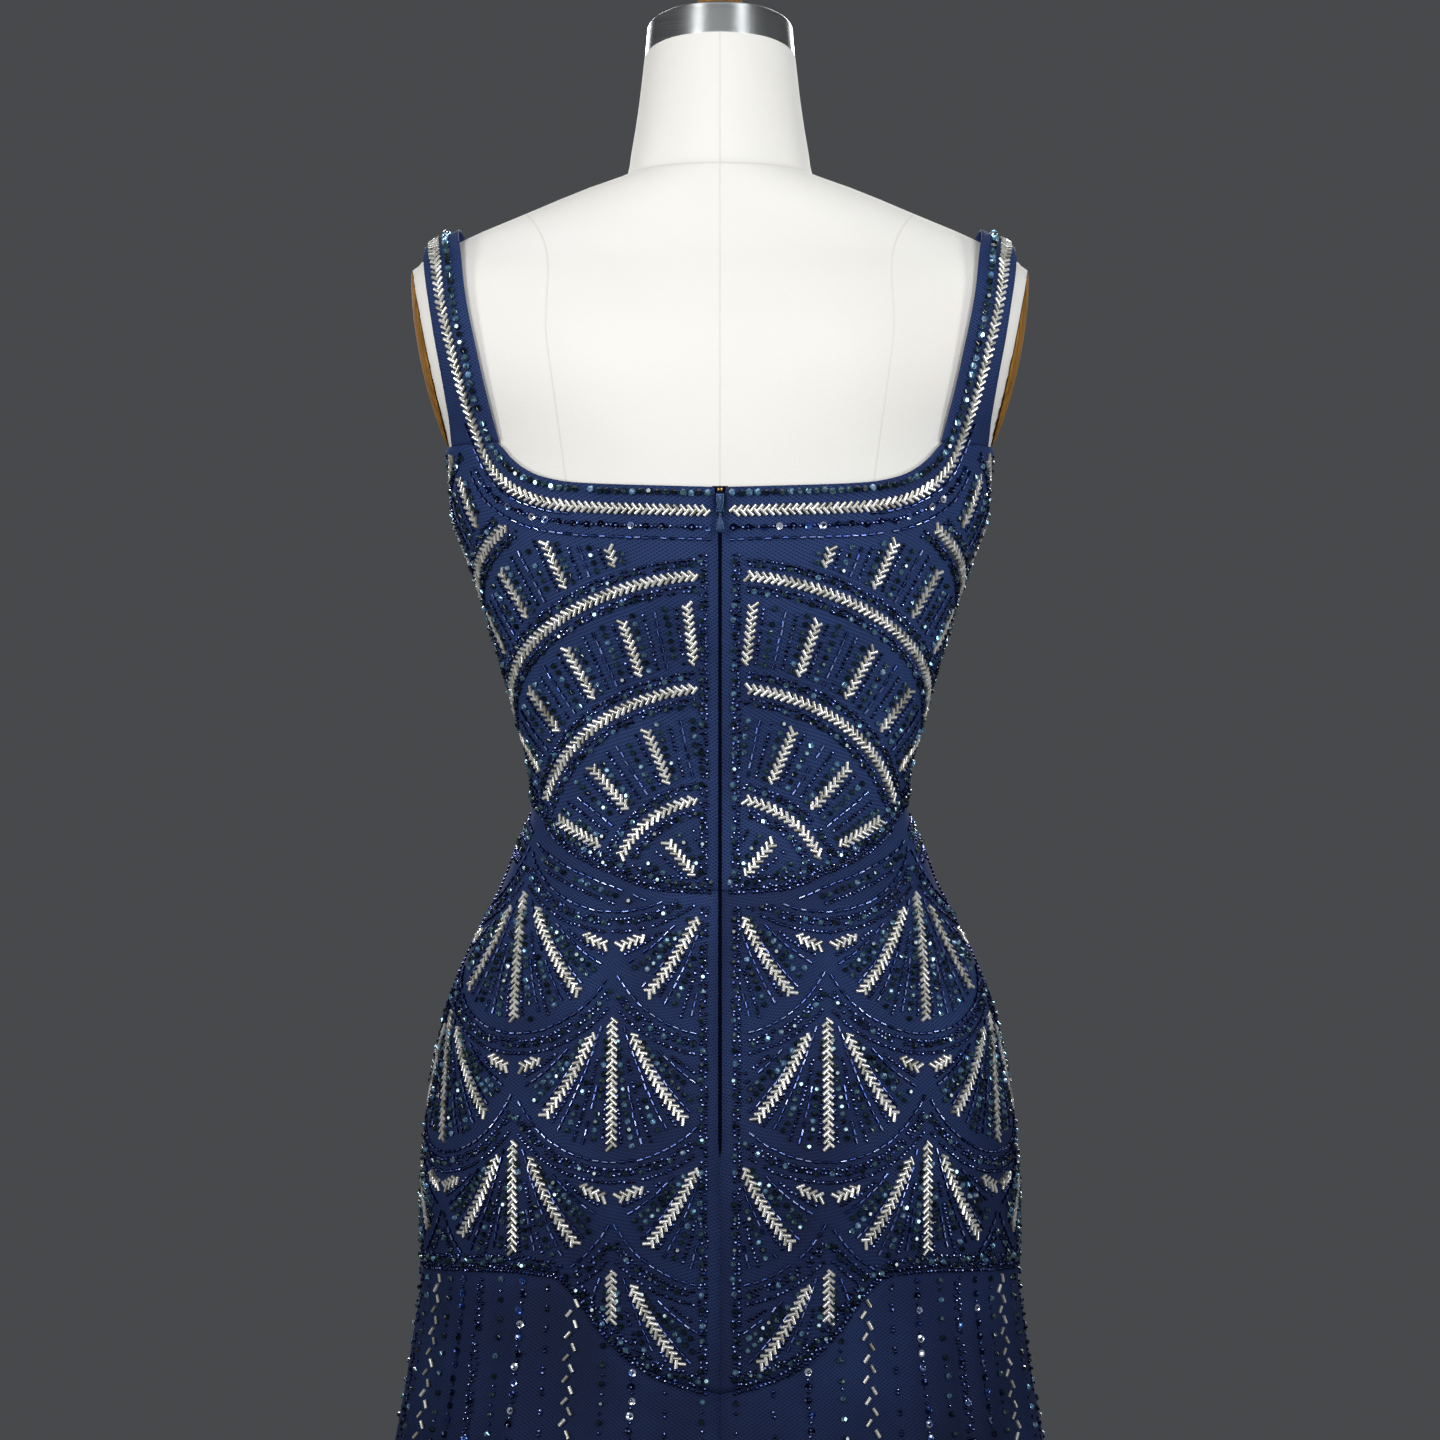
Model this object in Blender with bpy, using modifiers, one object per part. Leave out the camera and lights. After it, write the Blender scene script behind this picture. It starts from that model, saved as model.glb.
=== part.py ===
# Evening gown on a limbless dress form, life size, in metres.
# +Z is up, the wearer faces -Y and the wearer's left is +X. The origin is on the floor, under the pole.
# "turn" is the angle round the body: 0 at the wearer's left side, 90 degrees at the centre back,
# 180 at the right side and 270 at the centre front.

import math

import bmesh
import bpy
import numpy as np
from mathutils import Matrix

# Driving dimensions
WALL = 0.0012           # cloth thickness
CLEAR = 0.0018          # inner face of the cloth off the form
SEAM = 0.0003           # gap between neighbouring pieces
HEM = 0.018             # hem above the floor
HIP = 0.755             # height of the hip seam at the sides
ROUND = 2.25            # exponent of the body's rounded sections, 2 is an ellipse
COLUMNS = 12            # mesh columns in a quarter turn of a fitted piece
SKIRT_COLUMNS = 24      # the same in the skirt
CROWDING = 1.35         # how strongly the rows crowd towards the waist seam

# Sections of the figure, hem to neck. Below the hip only the cloth has them.
FIGURE_COLUMNS = ("height", "halfWidth", "front", "back", "shift", "tilt")
FIGURE_ROWS = [
    (0.000, 0.3400, 0.285, 0.305, 0.000, 0),
    (0.200, 0.3000, 0.243, 0.262, 0.000, 0),
    (0.350, 0.2660, 0.205, 0.226, 0.000, 0),
    (0.500, 0.2310, 0.166, 0.187, 0.000, 0),
    (0.640, 0.1985, 0.133, 0.151, 0.000, 0),
    (0.700, 0.1890, 0.120, 0.1385, 0.000, 0),
    (0.755, 0.1838, 0.1135, 0.1310, 0.000, 0),
    (0.800, 0.1838, 0.1120, 0.1300, 0.000, 0),
    (0.836, 0.1818, 0.1095, 0.1270, 0.000, 0),
    (0.877, 0.1758, 0.1065, 0.1200, 0.000, 0),
    (0.913, 0.1683, 0.1040, 0.1100, 0.000, 0),
    (0.946, 0.1553, 0.1010, 0.0990, 0.000, 0),
    (0.978, 0.1393, 0.0975, 0.0900, 0.000, 0),
    (1.008, 0.1263, 0.0935, 0.0830, 0.000, 0),
    (1.042, 0.1147, 0.0900, 0.0785, 0.000, 0),
    (1.094, 0.1243, 0.0970, 0.0820, 0.000, 0),
    (1.133, 0.1353, 0.1060, 0.0885, 0.000, 0),
    (1.167, 0.1448, 0.1130, 0.0945, 0.000, 0),
    (1.201, 0.1573, 0.1165, 0.0990, 0.000, 0),
    (1.225, 0.1648, 0.1155, 0.1010, 0.000, 0),
    (1.250, 0.1663, 0.1120, 0.1025, 0.000, 0),
    (1.266, 0.1705, 0.1090, 0.1030, 0.000, 0),
    (1.300, 0.1910, 0.1000, 0.1010, 0.000, 0),
    (1.330, 0.2040, 0.0900, 0.0950, 0.000, 0),
    (1.360, 0.2070, 0.0765, 0.0830, 0.000, 0),
    (1.376, 0.1970, 0.0690, 0.0750, 0.000, 0),
    (1.3825, 0.1855, 0.0660, 0.0715, 0.000, 0),
    (1.3964, 0.1585, 0.0610, 0.0660, 0.000, 1),
    (1.410, 0.1245, 0.0580, 0.0620, 0.000, 3),
    (1.4235, 0.0900, 0.0560, 0.0590, -0.002, 5),
    (1.4322, 0.0636, 0.0544, 0.0564, -0.0037, 6.0),
    (1.4340, 0.0594, 0.0536, 0.0552, -0.0042, 6.3),
    (1.452, 0.0558, 0.0516, 0.0520, -0.008, 8.5),
    (1.480, 0.0515, 0.0490, 0.0490, -0.014, 11.5),
    (1.5109, 0.0480, 0.0480, 0.0480, -0.020, 14.5),
]

# Pairs of soft lobes on the figure: side is +1 on the back and -1 on the front.
LOBE_COLUMNS = ("side", "across", "height", "spreadAcross", "spreadUp", "push")
LOBE_ROWS = [
    (-1, 0.066, 1.200, 0.058, 0.064, 0.0170),
    (+1, 0.080, 0.800, 0.060, 0.075, 0.0080),
    (+1, 0.085, 1.320, 0.050, 0.060, 0.0060),
    (+1, 0.000, 1.090, 0.026, 0.110, -0.0025),
]

# Seam and edge heights by the angle from the centre back, 0 to 180 degrees at the centre front.
EDGE_COLUMNS = ("angle", "height")
WAIST_SEAM = [(0, 0.989), (13, 0.991), (27, 1.001), (40, 1.0105), (55, 1.0226), (70, 1.0370), (90, 1.0440),
              (120, 1.0380), (150, 1.0300), (180, 1.0270)]
HIP_SEAM = [(0, 0.6905), (10.5, 0.7037), (19.5, 0.7277), (25.5, 0.7510), (30, 0.7606), (40, 0.7620),
            (52, 0.7600), (90, HIP), (180, HIP)]
BACK_TOP = [(0, 1.2356), (15, 1.2368), (22.5, 1.2375), (30, 1.2388), (37.5, 1.2422), (45, 1.2508),
            (52.5, 1.2650), (82.5, 1.2650), (90, 1.2560)]
FRONT_TOP = [(90, 1.2560), (97.5, 1.2560), (105, 1.2590), (112.5, 1.2660), (120, 1.2790), (127.5, 1.3000),
             (142.5, 1.3000), (150, 1.2850), (157.5, 1.2770), (165, 1.2720), (180, 1.2690)]

# Straps from the back join over the shoulder to the front join.
STRAP_COLUMNS = ("along", "inner", "outer", "lift")
STRAP_ROWS = [
    (0.00, 0.1387, 0.1644, 0.0000),
    (0.08, 0.1408, 0.1642, 0.0014),
    (0.20, 0.1472, 0.1672, 0.0018),
    (0.38, 0.1573, 0.1756, 0.0026),
    (0.52, 0.1606, 0.1811, 0.0050),
    (0.66, 0.1580, 0.1790, 0.0045),
    (0.84, 0.1420, 0.1680, 0.0008),
    (1.00, 0.1232, 0.1552, 0.0000),
]
STRAP_AXIS = 1.300       # height of the line that the strap's rays start from
STRAP_ROW_COUNT = 25
STRAP_ACROSS = 5

# Flutes of the skirt: crest angle, half spread in degrees, depth at the hem.
FLUTE_COLUMNS = ("crest", "spread", "depth")
FLUTE_ROWS = [
    (0, 8.0, 0.026), (19, 6.0, 0.030), (36, 7.0, 0.024), (53, 5.5, 0.031), (72, 7.5, 0.025),
    (90, 7.0, 0.028), (108, 6.0, 0.024), (125, 7.5, 0.032), (144, 6.5, 0.025), (162, 6.0, 0.029),
    (180, 8.0, 0.026), (200, 7.0, 0.031), (217, 5.5, 0.023), (233, 6.5, 0.030), (252, 7.5, 0.026),
    (271, 6.0, 0.032), (288, 7.0, 0.024), (307, 7.5, 0.030), (324, 5.5, 0.026), (342, 7.0, 0.029),
]
FLUTE_MEAN = 0.0125      # taken off, so that the flutes swing in and out
FLUTE_GROWTH = 0.9       # exponent of their growth from the hip seam to the hem

# Centre-back zip
ZIP_BOTTOM = 0.836
ZIP_TOP = 1.2215
SLOT_HALF = 0.00115      # half the slot along the coil
SLOT_TOP_HALF = 0.0036   # half the slot at the neckline, where the zip stands open
COIL_RADIUS = 0.00075
SLIDER_WIDTH = 0.0052
SLIDER_LENGTH = 0.0125
SLIDER_THICK = 0.0020
PIN_HEIGHT = 1.2205
PIN_RADIUS = 0.0005
KNUCKLE_RADIUS = 0.0013
KNUCKLE_BORE = 0.0008
KNUCKLE_WIDTH = 0.0022
EAR_GAP = 0.0003
PULL_LENGTH = 0.0130
PULL_NECK = 0.0022       # straight neck of the tab, below the pin
PULL_END_WIDTH = 0.0050
PULL_THICK = 0.0011

# Dress form
FORM_BOTTOM = 0.700
FORM_HEIGHTS = [
    0.7000, 0.7015, 0.7080, 0.7280, 0.7600, 0.8000, 0.8400, 0.8800, 0.9150, 0.9450, 0.9720, 0.9980, 1.0220,
    1.0450, 1.0700, 1.1000, 1.1300, 1.1600, 1.1880, 1.2120, 1.2360, 1.2550, 1.2660, 1.2780, 1.2930, 1.3120,
    1.3320, 1.3520, 1.3660, 1.3760, 1.3840, 1.3940, 1.4060, 1.4190, 1.4270, 1.4322, 1.4340, 1.4460, 1.4660,
    1.4900, 1.5109,
]
FORM_TAPER = 0.04        # share of its section that the form loses towards its bottom edge
FORM_EDGE = 0.012        # roundness of that edge
ARM_TOP = (0.1925, 1.376)
ARM_BOTTOM = (0.1700, 1.266)
ARM_PLATE_WIDE = 0.045   # half the plate, front to back
ARM_PLATE_BACK = 0.003   # middle of the plate behind the side line
ARM_CUTTER = 0.16        # side of the block that cuts the form flat there
CAP_HEIGHT = 0.0225
CAP_DOME = 0.003
CAP_DOME_RADIUS = 0.030  # where the dome reaches 0.6 of its rise
CAP_INSET = 0.0003       # the cap's rim inside the neck's
CAP_TAPER = 0.0016       # how much narrower the cap is at its top
CAP_EDGE = 0.0014

# Domed arm plate: share of its oval, height off the form's flat.
PLATE_ROWS = [
    (0.99, 0.0000),
    (1.00, 0.0006),
    (0.96, 0.0016),
    (0.86, 0.0028),
    (0.68, 0.0045),
    (0.42, 0.0060),
    (0.14, 0.0068),
]

# Turned knob on the cap: radius, height.
FINIAL_ROWS = [
    (0.0000, 0.0640),
    (0.0130, 0.0605),
    (0.0205, 0.0510),
    (0.0205, 0.0400),
    (0.0140, 0.0290),
    (0.0098, 0.0235),
    (0.0105, 0.0180),
    (0.0158, 0.0135),
    (0.0158, 0.0095),
    (0.0132, 0.0065),
    (0.0130, 0.0000),
    (0.0000, 0.0000),
]

POLE_RADIUS = 0.014
BASE_RADIUS = 0.210
BASE_THICK = 0.014


def tableColumns(names, rows):
    return {name: np.array(column, float) for name, column in zip(names, zip(*rows))}


# Monotone cubic curve through the points (xs, ys), read at x.
def smoothCurve(xs, ys, x):
    step = np.diff(xs)
    slope = np.diff(ys) / step
    before, after = slope[:-1], slope[1:]
    same = before * after > 0
    weightA, weightB = 2 * step[1:] + step[:-1], step[1:] + 2 * step[:-1]
    bottom = weightA / np.where(same, before, 1) + weightB / np.where(same, after, 1)
    inner = np.where(same, (weightA + weightB) / np.where(same, bottom, 1), 0)
    lean = np.concatenate(([slope[0]], inner, [slope[-1]]))
    x = np.clip(x, xs[0], xs[-1])
    i = np.clip(np.searchsorted(xs, x, side="right") - 1, 0, len(step) - 1)
    h = step[i]
    s = (x - xs[i]) / h
    rise = (3 - 2 * s) * s * s
    return (ys[i] * (1 - rise) + ys[i + 1] * rise
            + h * s * (1 - s) * (lean[i] * (1 - s) - lean[i + 1] * s))


figure = tableColumns(FIGURE_COLUMNS, FIGURE_ROWS)
strap = tableColumns(STRAP_COLUMNS, STRAP_ROWS)
lobes = [dict(zip(LOBE_COLUMNS, row)) for row in LOBE_ROWS]
flutes = [dict(zip(FLUTE_COLUMNS, row)) for row in FLUTE_ROWS]
edges = {name: tableColumns(EDGE_COLUMNS, rows) for name, rows in
         (("waist", WAIST_SEAM), ("hip", HIP_SEAM), ("backTop", BACK_TOP), ("frontTop", FRONT_TOP))}


def figureSize(name, z):
    return smoothCurve(figure["height"], figure[name], z)


# Point of the figure: x and y follow cosine and sine raised to 2/ROUND, scaled by the section's half
# width and depth, pushed by the lobes, then shifted and tilted as the neck leans.
def figurePoint(turn, z):
    turn, z = np.broadcast_arrays(np.asarray(turn, float), np.asarray(z, float))
    c, s = np.cos(turn), np.sin(turn)
    x = figureSize("halfWidth", z) * np.sign(c) * np.abs(c) ** (2 / ROUND)
    depth = np.where(s >= 0, figureSize("back", z), figureSize("front", z))
    y = depth * np.sign(s) * np.abs(s) ** (2 / ROUND)
    for lobe in lobes:
        wide = lobe["spreadAcross"]
        pair = np.exp(-((x - lobe["across"]) / wide) ** 2) + np.exp(-((x + lobe["across"]) / wide) ** 2)
        near = pair * np.exp(-((z - lobe["height"]) / lobe["spreadUp"]) ** 2)
        y = y + lobe["side"] * lobe["push"] * near * np.clip(lobe["side"] * s, 0, 1)
    tilt = np.tan(np.radians(figureSize("tilt", z)))
    return np.stack((x, y + figureSize("shift", z), z + y * tilt), axis=-1)


# Unit normal of a surface given by a function of turn and height, from its two tangents.
def outward(surface, turn, z):
    small = 0.002
    round_ = surface(turn + small, z) - surface(turn - small, z)
    upward = surface(turn, z + small) - surface(turn, z - small)
    normal = np.cross(round_, upward)
    return normal / np.linalg.norm(normal, axis=-1, keepdims=True)


# How far the skirt swings out: the sum of rounded crests, growing from the hip seam to the hem.
def fluteSwing(turn, z):
    growth = np.clip((HIP - z) / (HIP - HEM), 0, 1) ** FLUTE_GROWTH
    swing = -FLUTE_MEAN * np.ones_like(growth)
    for flute in flutes:
        away = (np.degrees(turn) - flute["crest"] + 180) % 360 - 180
        swing = swing + flute["depth"] * np.exp(-(away / flute["spread"]) ** 2)
    return swing * growth


# Inner face of the gown: the figure moved out by the clearance and the flutes.
def gownPoint(turn, z):
    turn, z = np.broadcast_arrays(np.asarray(turn, float), np.asarray(z, float))
    away = CLEAR + fluteSwing(turn, z)
    return figurePoint(turn, z) + away[..., None] * outward(figurePoint, turn, z)


# Height of an edge at a turn; between the fitted pieces' columns it runs straight, so that the pieces
# on both sides of a seam share one line.
def edgeHeight(name, turn):
    angle = np.abs((np.degrees(turn) - 90 + 180) % 360 - 180)
    knots = np.arange(0, 2 * COLUMNS + 1) * (90 / COLUMNS)
    heights = smoothCurve(edges[name]["angle"], edges[name]["height"], knots)
    return np.interp(angle, knots, heights)


# Half the centre-back gap: the zip slot, wider at the neckline, or a plain seam below the zip.
def backGap(z):
    opening = np.clip((z - ZIP_TOP + 0.010) / 0.024, 0, 1)
    slot = SLOT_HALF + (SLOT_TOP_HALF - SLOT_HALF) * opening ** 1.5
    closing = np.clip((z - ZIP_BOTTOM + 0.004) / 0.004, 0, 1)
    return SEAM / 2 + (slot - SEAM / 2) * closing


# Turn at which the figure stands the given distance off the centre plane or off the side plane.
def turnAcross(gap, z):
    return np.arccos((gap / figureSize("halfWidth", z)) ** (ROUND / 2))


def turnBeside(gap, z, name):
    return np.arcsin((gap / figureSize(name, z)) ** (ROUND / 2))


def makeCollection(name):
    collection = bpy.data.collections.new(name)
    bpy.context.scene.collection.children.link(collection)
    return collection


def makeMaterial(name, red, green, blue, roughness, metallic=0.0):
    material = bpy.data.materials.new(name)
    material.use_nodes = True
    shader = material.node_tree.nodes["Principled BSDF"]
    shader.inputs["Base Color"].default_value = (red, green, blue, 1)
    shader.inputs["Roughness"].default_value = roughness
    shader.inputs["Metallic"].default_value = metallic
    return material


def addObject(name, mesh, material, collection):
    mesh.materials.clear()
    mesh.materials.append(material)
    thing = bpy.data.objects.new(name, mesh)
    collection.objects.link(thing)
    return thing


# Open sheet of quads from a grid of points, columns running round and rows running up.
def gridMesh(name, points):
    rows, columns = points.shape[:2]
    index = np.arange(rows * columns).reshape(rows, columns)
    quads = np.stack((index[:-1, :-1], index[:-1, 1:], index[1:, 1:], index[1:, :-1]), axis=-1)
    mesh = bpy.data.meshes.new(name)
    mesh.from_pydata(points.reshape(-1, 3).tolist(), [], quads.reshape(-1, 4).tolist())
    mesh.shade_smooth()
    return mesh


def addCloth(name, points, material, collection):
    cloth = addObject(name, gridMesh(name, points), material, collection)
    wall = cloth.modifiers.new("wall", "SOLIDIFY")
    wall.thickness = WALL
    wall.offset = 1
    return cloth


# One cut piece: columns between two turns, rows between two edges, a seam gap kept all round. The rows
# crowd towards the waist seam, where the wall bends most.
def clothPiece(name, startTurn, endTurn, columns, rows, lowEdge, highEdge, material, collection):
    turns = np.radians(np.linspace(startTurn, endTurn, columns + 1))
    share = np.linspace(0, 1, rows + 1)[:, None]
    if lowEdge == "waist":
        share = share ** CROWDING
    elif highEdge == "waist":
        share = 1 - (1 - share) ** CROWDING
    low = np.full(turns.shape, HEM) if lowEdge is None else edgeHeight(lowEdge, turns) + SEAM / 2
    high = edgeHeight(highEdge, turns) - (SEAM / 2 if highEdge in ("waist", "hip") else 0)
    z = low + (high - low) * share
    turn = np.broadcast_to(turns, z.shape).copy()
    for column, angle in ((0, startTurn), (-1, endTurn)):
        height = z[:, column]
        inward = 1 if column == 0 else -1
        if angle == 90:
            moved = turnAcross(backGap(height), height)
            turn[:, column] = moved if inward < 0 else math.pi - moved
        else:
            depth = "back" if 0 <= startTurn < 180 and endTurn <= 180 else "front"
            turn[:, column] += inward * turnBeside(SEAM / 2, height, depth)
    return addCloth(name, gownPoint(turn, z), material, collection)


def buildGown(cloth, collection):
    quarter, skirtQuarter = COLUMNS, SKIRT_COLUMNS
    for side, start, end in (("left", 0, 90), ("right", 90, 180)):
        clothPiece(f"bodice_back_{side}", start, end, quarter, 14, "waist", "backTop", cloth, collection)
        clothPiece(f"yoke_back_{side}", start, end, quarter, 12, "hip", "waist", cloth, collection)
        clothPiece(f"skirt_back_{side}", start, end, skirtQuarter, 10, None, "hip", cloth, collection)
    clothPiece("bodice_front", 180, 360, 2 * quarter, 14, "waist", "frontTop", cloth, collection)
    clothPiece("yoke_front", 180, 360, 2 * quarter, 12, "hip", "waist", cloth, collection)
    clothPiece("skirt_front", 180, 360, 2 * skirtQuarter, 10, None, "hip", cloth, collection)
    for side, sign in (("left", 1), ("right", -1)):
        addStrap(f"strap_{side}", sign, cloth, collection)


# Height at which a ray from the strap's axis line, in a plane across X, leaves the figure.
def rayHeight(x, angle):
    near, far = np.zeros_like(x), np.full_like(x, 0.3)
    for halving in range(40):
        middle = (near + far) / 2
        y, z = middle * np.cos(angle), STRAP_AXIS + middle * np.sin(angle)
        depth = np.where(y >= 0, figureSize("back", z), figureSize("front", z))
        inside = (x / figureSize("halfWidth", z)) ** ROUND + (np.abs(y) / depth) ** ROUND < 1
        near, far = np.where(inside, middle, near), np.where(inside, far, middle)
    return STRAP_AXIS + near * np.sin(angle)


# A strap follows the figure over the shoulder, lifted off it there as a taut band is.
def addStrap(name, sign, material, collection):
    along = np.linspace(0, 1, STRAP_ROW_COUNT + 1)[:, None]
    across = np.linspace(0, 1, STRAP_ACROSS + 1)[None, :]
    size = {key: smoothCurve(strap["along"], strap[key], along) for key in ("inner", "outer", "lift")}
    x = size["inner"] + (size["outer"] - size["inner"]) * across
    joins = []
    for edge, side, depth, row in (("backTop", 1, "back", x[0]), ("frontTop", -1, "front", x[-1])):
        z = max(edges[edge]["height"]) + SEAM
        y = figureSize(depth, z) * (1 - (row / figureSize("halfWidth", z)) ** ROUND) ** (1 / ROUND)
        joins.append(np.arctan2(z - STRAP_AXIS, side * y))
    angle = joins[0] + (joins[1] - joins[0]) * along
    z = rayHeight(x, angle)
    turn = np.arccos(np.clip(x / figureSize("halfWidth", z), 0, 1) ** (ROUND / 2))
    turn = np.where(angle > math.pi / 2, -turn, turn)
    away = (CLEAR + size["lift"])[..., None]
    points = figurePoint(turn, z) + away * outward(figurePoint, turn, z)
    points[..., 0] *= sign
    return addCloth(name, points if sign > 0 else points[::-1], material, collection)


def addCoil(material, collection):
    heights = np.linspace(ZIP_BOTTOM, ZIP_TOP - SLIDER_THICK, 26)
    points = gownPoint(np.full(heights.shape, math.pi / 2), heights)
    points[:, 1] += WALL / 2
    curve = bpy.data.curves.new("zip_coil", "CURVE")
    curve.dimensions = "3D"
    curve.bevel_depth = COIL_RADIUS
    curve.bevel_resolution = 0
    curve.use_fill_caps = True
    line = curve.splines.new("POLY")
    line.points.add(len(points) - 1)
    line.points.foreach_set("co", np.hstack((points, np.ones((len(points), 1)))).ravel())
    coil = bpy.data.objects.new("zip_coil", curve)
    curve.materials.append(material)
    collection.objects.link(coil)
    return coil


def primitiveMesh(name, kind, **sizes):
    shape = bmesh.new()
    if kind == "box":
        bmesh.ops.create_cube(shape, size=1, matrix=Matrix.Diagonal((*sizes["size"], 1)))
    else:
        bmesh.ops.create_cone(shape, cap_ends=True, segments=sizes["segments"], radius1=sizes["radius"],
                              radius2=sizes.get("topRadius", sizes["radius"]), depth=sizes["depth"])
    mesh = bpy.data.meshes.new(name)
    shape.to_mesh(mesh)
    shape.free()
    return mesh


def addBoolean(target, tool, operation):
    cut = target.modifiers.new(tool.name, "BOOLEAN")
    cut.object = tool
    cut.operation = operation
    cut.solver = "EXACT"


def addTool(name, mesh, material, tools, location, turnY=0.0):
    tool = addObject(name, mesh, material, tools)
    tool.location = location
    tool.rotation_euler = (0, turnY, 0)
    tool.display_type = "WIRE"
    tool.hide_render = True
    return tool


# Slider on the outside of the slot, with two ears and the pin that the pull turns on.
def addSlider(material, collection, tools):
    face = figureSize("back", PIN_HEIGHT + SLIDER_LENGTH / 2) + CLEAR + WALL + SEAM
    pinY = face + SLIDER_THICK + EAR_GAP + KNUCKLE_RADIUS
    middle = PIN_HEIGHT + SLIDER_LENGTH / 2 - KNUCKLE_RADIUS
    body = addObject("zip_slider", primitiveMesh("zip_slider", "box",
                     size=(SLIDER_WIDTH, SLIDER_THICK, SLIDER_LENGTH)), material, collection)
    body.location = (0, face + SLIDER_THICK / 2, middle)
    earWide = (SLIDER_WIDTH - KNUCKLE_WIDTH) / 2 - EAR_GAP
    earTall = 2 * KNUCKLE_RADIUS
    earDeep = EAR_GAP + KNUCKLE_RADIUS + PIN_RADIUS * 2 + SLIDER_THICK / 2
    for sign in (-1, 1):
        ear = addTool(f"ear_{sign}", primitiveMesh("ear", "box", size=(earWide, earDeep, earTall)), material,
                      tools, (sign * (SLIDER_WIDTH - earWide) / 2, face + SLIDER_THICK / 2 + earDeep / 2,
                              PIN_HEIGHT))
        addBoolean(body, ear, "UNION")
    pin = addTool("pin", primitiveMesh("pin", "rod", segments=12, radius=PIN_RADIUS,
                                       depth=SLIDER_WIDTH - earWide), material, tools,
                  (0, pinY, PIN_HEIGHT), math.pi / 2)
    addBoolean(body, pin, "UNION")
    return pinY


# Pull tab: a tapered plate under a bored knuckle, with its origin on the pin.
def addPull(pinY, material, collection, tools):
    neck = KNUCKLE_WIDTH / 2
    outline = [(-neck, -PULL_NECK), (-neck, 0), (neck, 0), (neck, -PULL_NECK)]
    lower = PULL_END_WIDTH / 2
    for step in range(13):
        bend = math.pi * step / 12
        outline.append((lower * math.cos(bend), -PULL_LENGTH + lower - lower * math.sin(bend)))
    shape = bmesh.new()
    corners = [shape.verts.new((x, -PULL_THICK / 2, z)) for x, z in outline]
    face = shape.faces.new(corners)
    thick = bmesh.ops.extrude_face_region(shape, geom=[face])
    moved = [item for item in thick["geom"] if isinstance(item, bmesh.types.BMVert)]
    bmesh.ops.translate(shape, verts=moved, vec=(0, PULL_THICK, 0))
    bmesh.ops.recalc_face_normals(shape, faces=shape.faces)
    mesh = bpy.data.meshes.new("zip_pull")
    shape.to_mesh(mesh)
    shape.free()
    pull = addObject("zip_pull", mesh, material, collection)
    pull.location = (0, pinY, PIN_HEIGHT)
    for name, radius, width, operation in (("knuckle", KNUCKLE_RADIUS, KNUCKLE_WIDTH, "UNION"),
                                           ("knuckle_bore", KNUCKLE_BORE, 2 * SLIDER_WIDTH, "DIFFERENCE")):
        tool = addTool(name, primitiveMesh(name, "rod", segments=16, radius=radius, depth=width), material,
                       tools, (0, pinY, PIN_HEIGHT), math.pi / 2)
        addBoolean(pull, tool, operation)
    return pull


# Closed stack of rings of points, each ring with the same number of points.
def stackedMesh(name, points):
    rings, columns = points.shape[:2]
    index = np.arange(rings * columns).reshape(rings, columns)
    after = np.roll(index, -1, axis=1)
    faces = np.stack((index[:-1], after[:-1], after[1:], index[1:]), axis=-1).reshape(-1, 4).tolist()
    faces += [index[0][::-1].tolist(), index[-1].tolist()]
    mesh = bpy.data.meshes.new(name)
    mesh.from_pydata(points.reshape(-1, 3).tolist(), [], faces)
    return mesh


# Form from the hip to the top of the neck: a stack of the figure's sections, drawn in at the bottom edge,
# closed by a flat bottom and a flat, tilted top, and cut flat at the arms.
def addForm(linen, collection, tools):
    heights = np.array(FORM_HEIGHTS)[:, None]
    turns = np.linspace(0, 2 * math.pi, 4 * COLUMNS, endpoint=False)[None, :]
    points = figurePoint(turns, heights)
    low = np.clip((HIP + 0.02 - heights) / (HIP + 0.02 - FORM_BOTTOM), 0, 1)
    corner = np.clip((FORM_BOTTOM + FORM_EDGE - heights) / FORM_EDGE, 0, 1)
    drawnIn = 1 - FORM_TAPER * low ** 2 - 0.05 * (1 - np.sqrt(1 - corner ** 2))
    points[..., :2] *= drawnIn[..., None]
    mesh = stackedMesh("form_torso", points)
    mesh.shade_smooth()
    form = addObject("form_torso", mesh, linen, collection)
    lean = math.atan2(ARM_TOP[0] - ARM_BOTTOM[0], ARM_TOP[1] - ARM_BOTTOM[1])
    for sign in (-1, 1):
        x = (ARM_TOP[0] + ARM_BOTTOM[0]) / 2 + ARM_CUTTER / 2 * math.cos(lean)
        z = (ARM_TOP[1] + ARM_BOTTOM[1]) / 2 - ARM_CUTTER / 2 * math.sin(lean)
        block = primitiveMesh("arm_cut", "box", size=(ARM_CUTTER, ARM_CUTTER, ARM_CUTTER))
        tool = addTool(f"arm_cut_{sign}", block, linen, tools, (sign * x, 0, z), sign * lean)
        addBoolean(form, tool, "DIFFERENCE")
    return form


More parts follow.
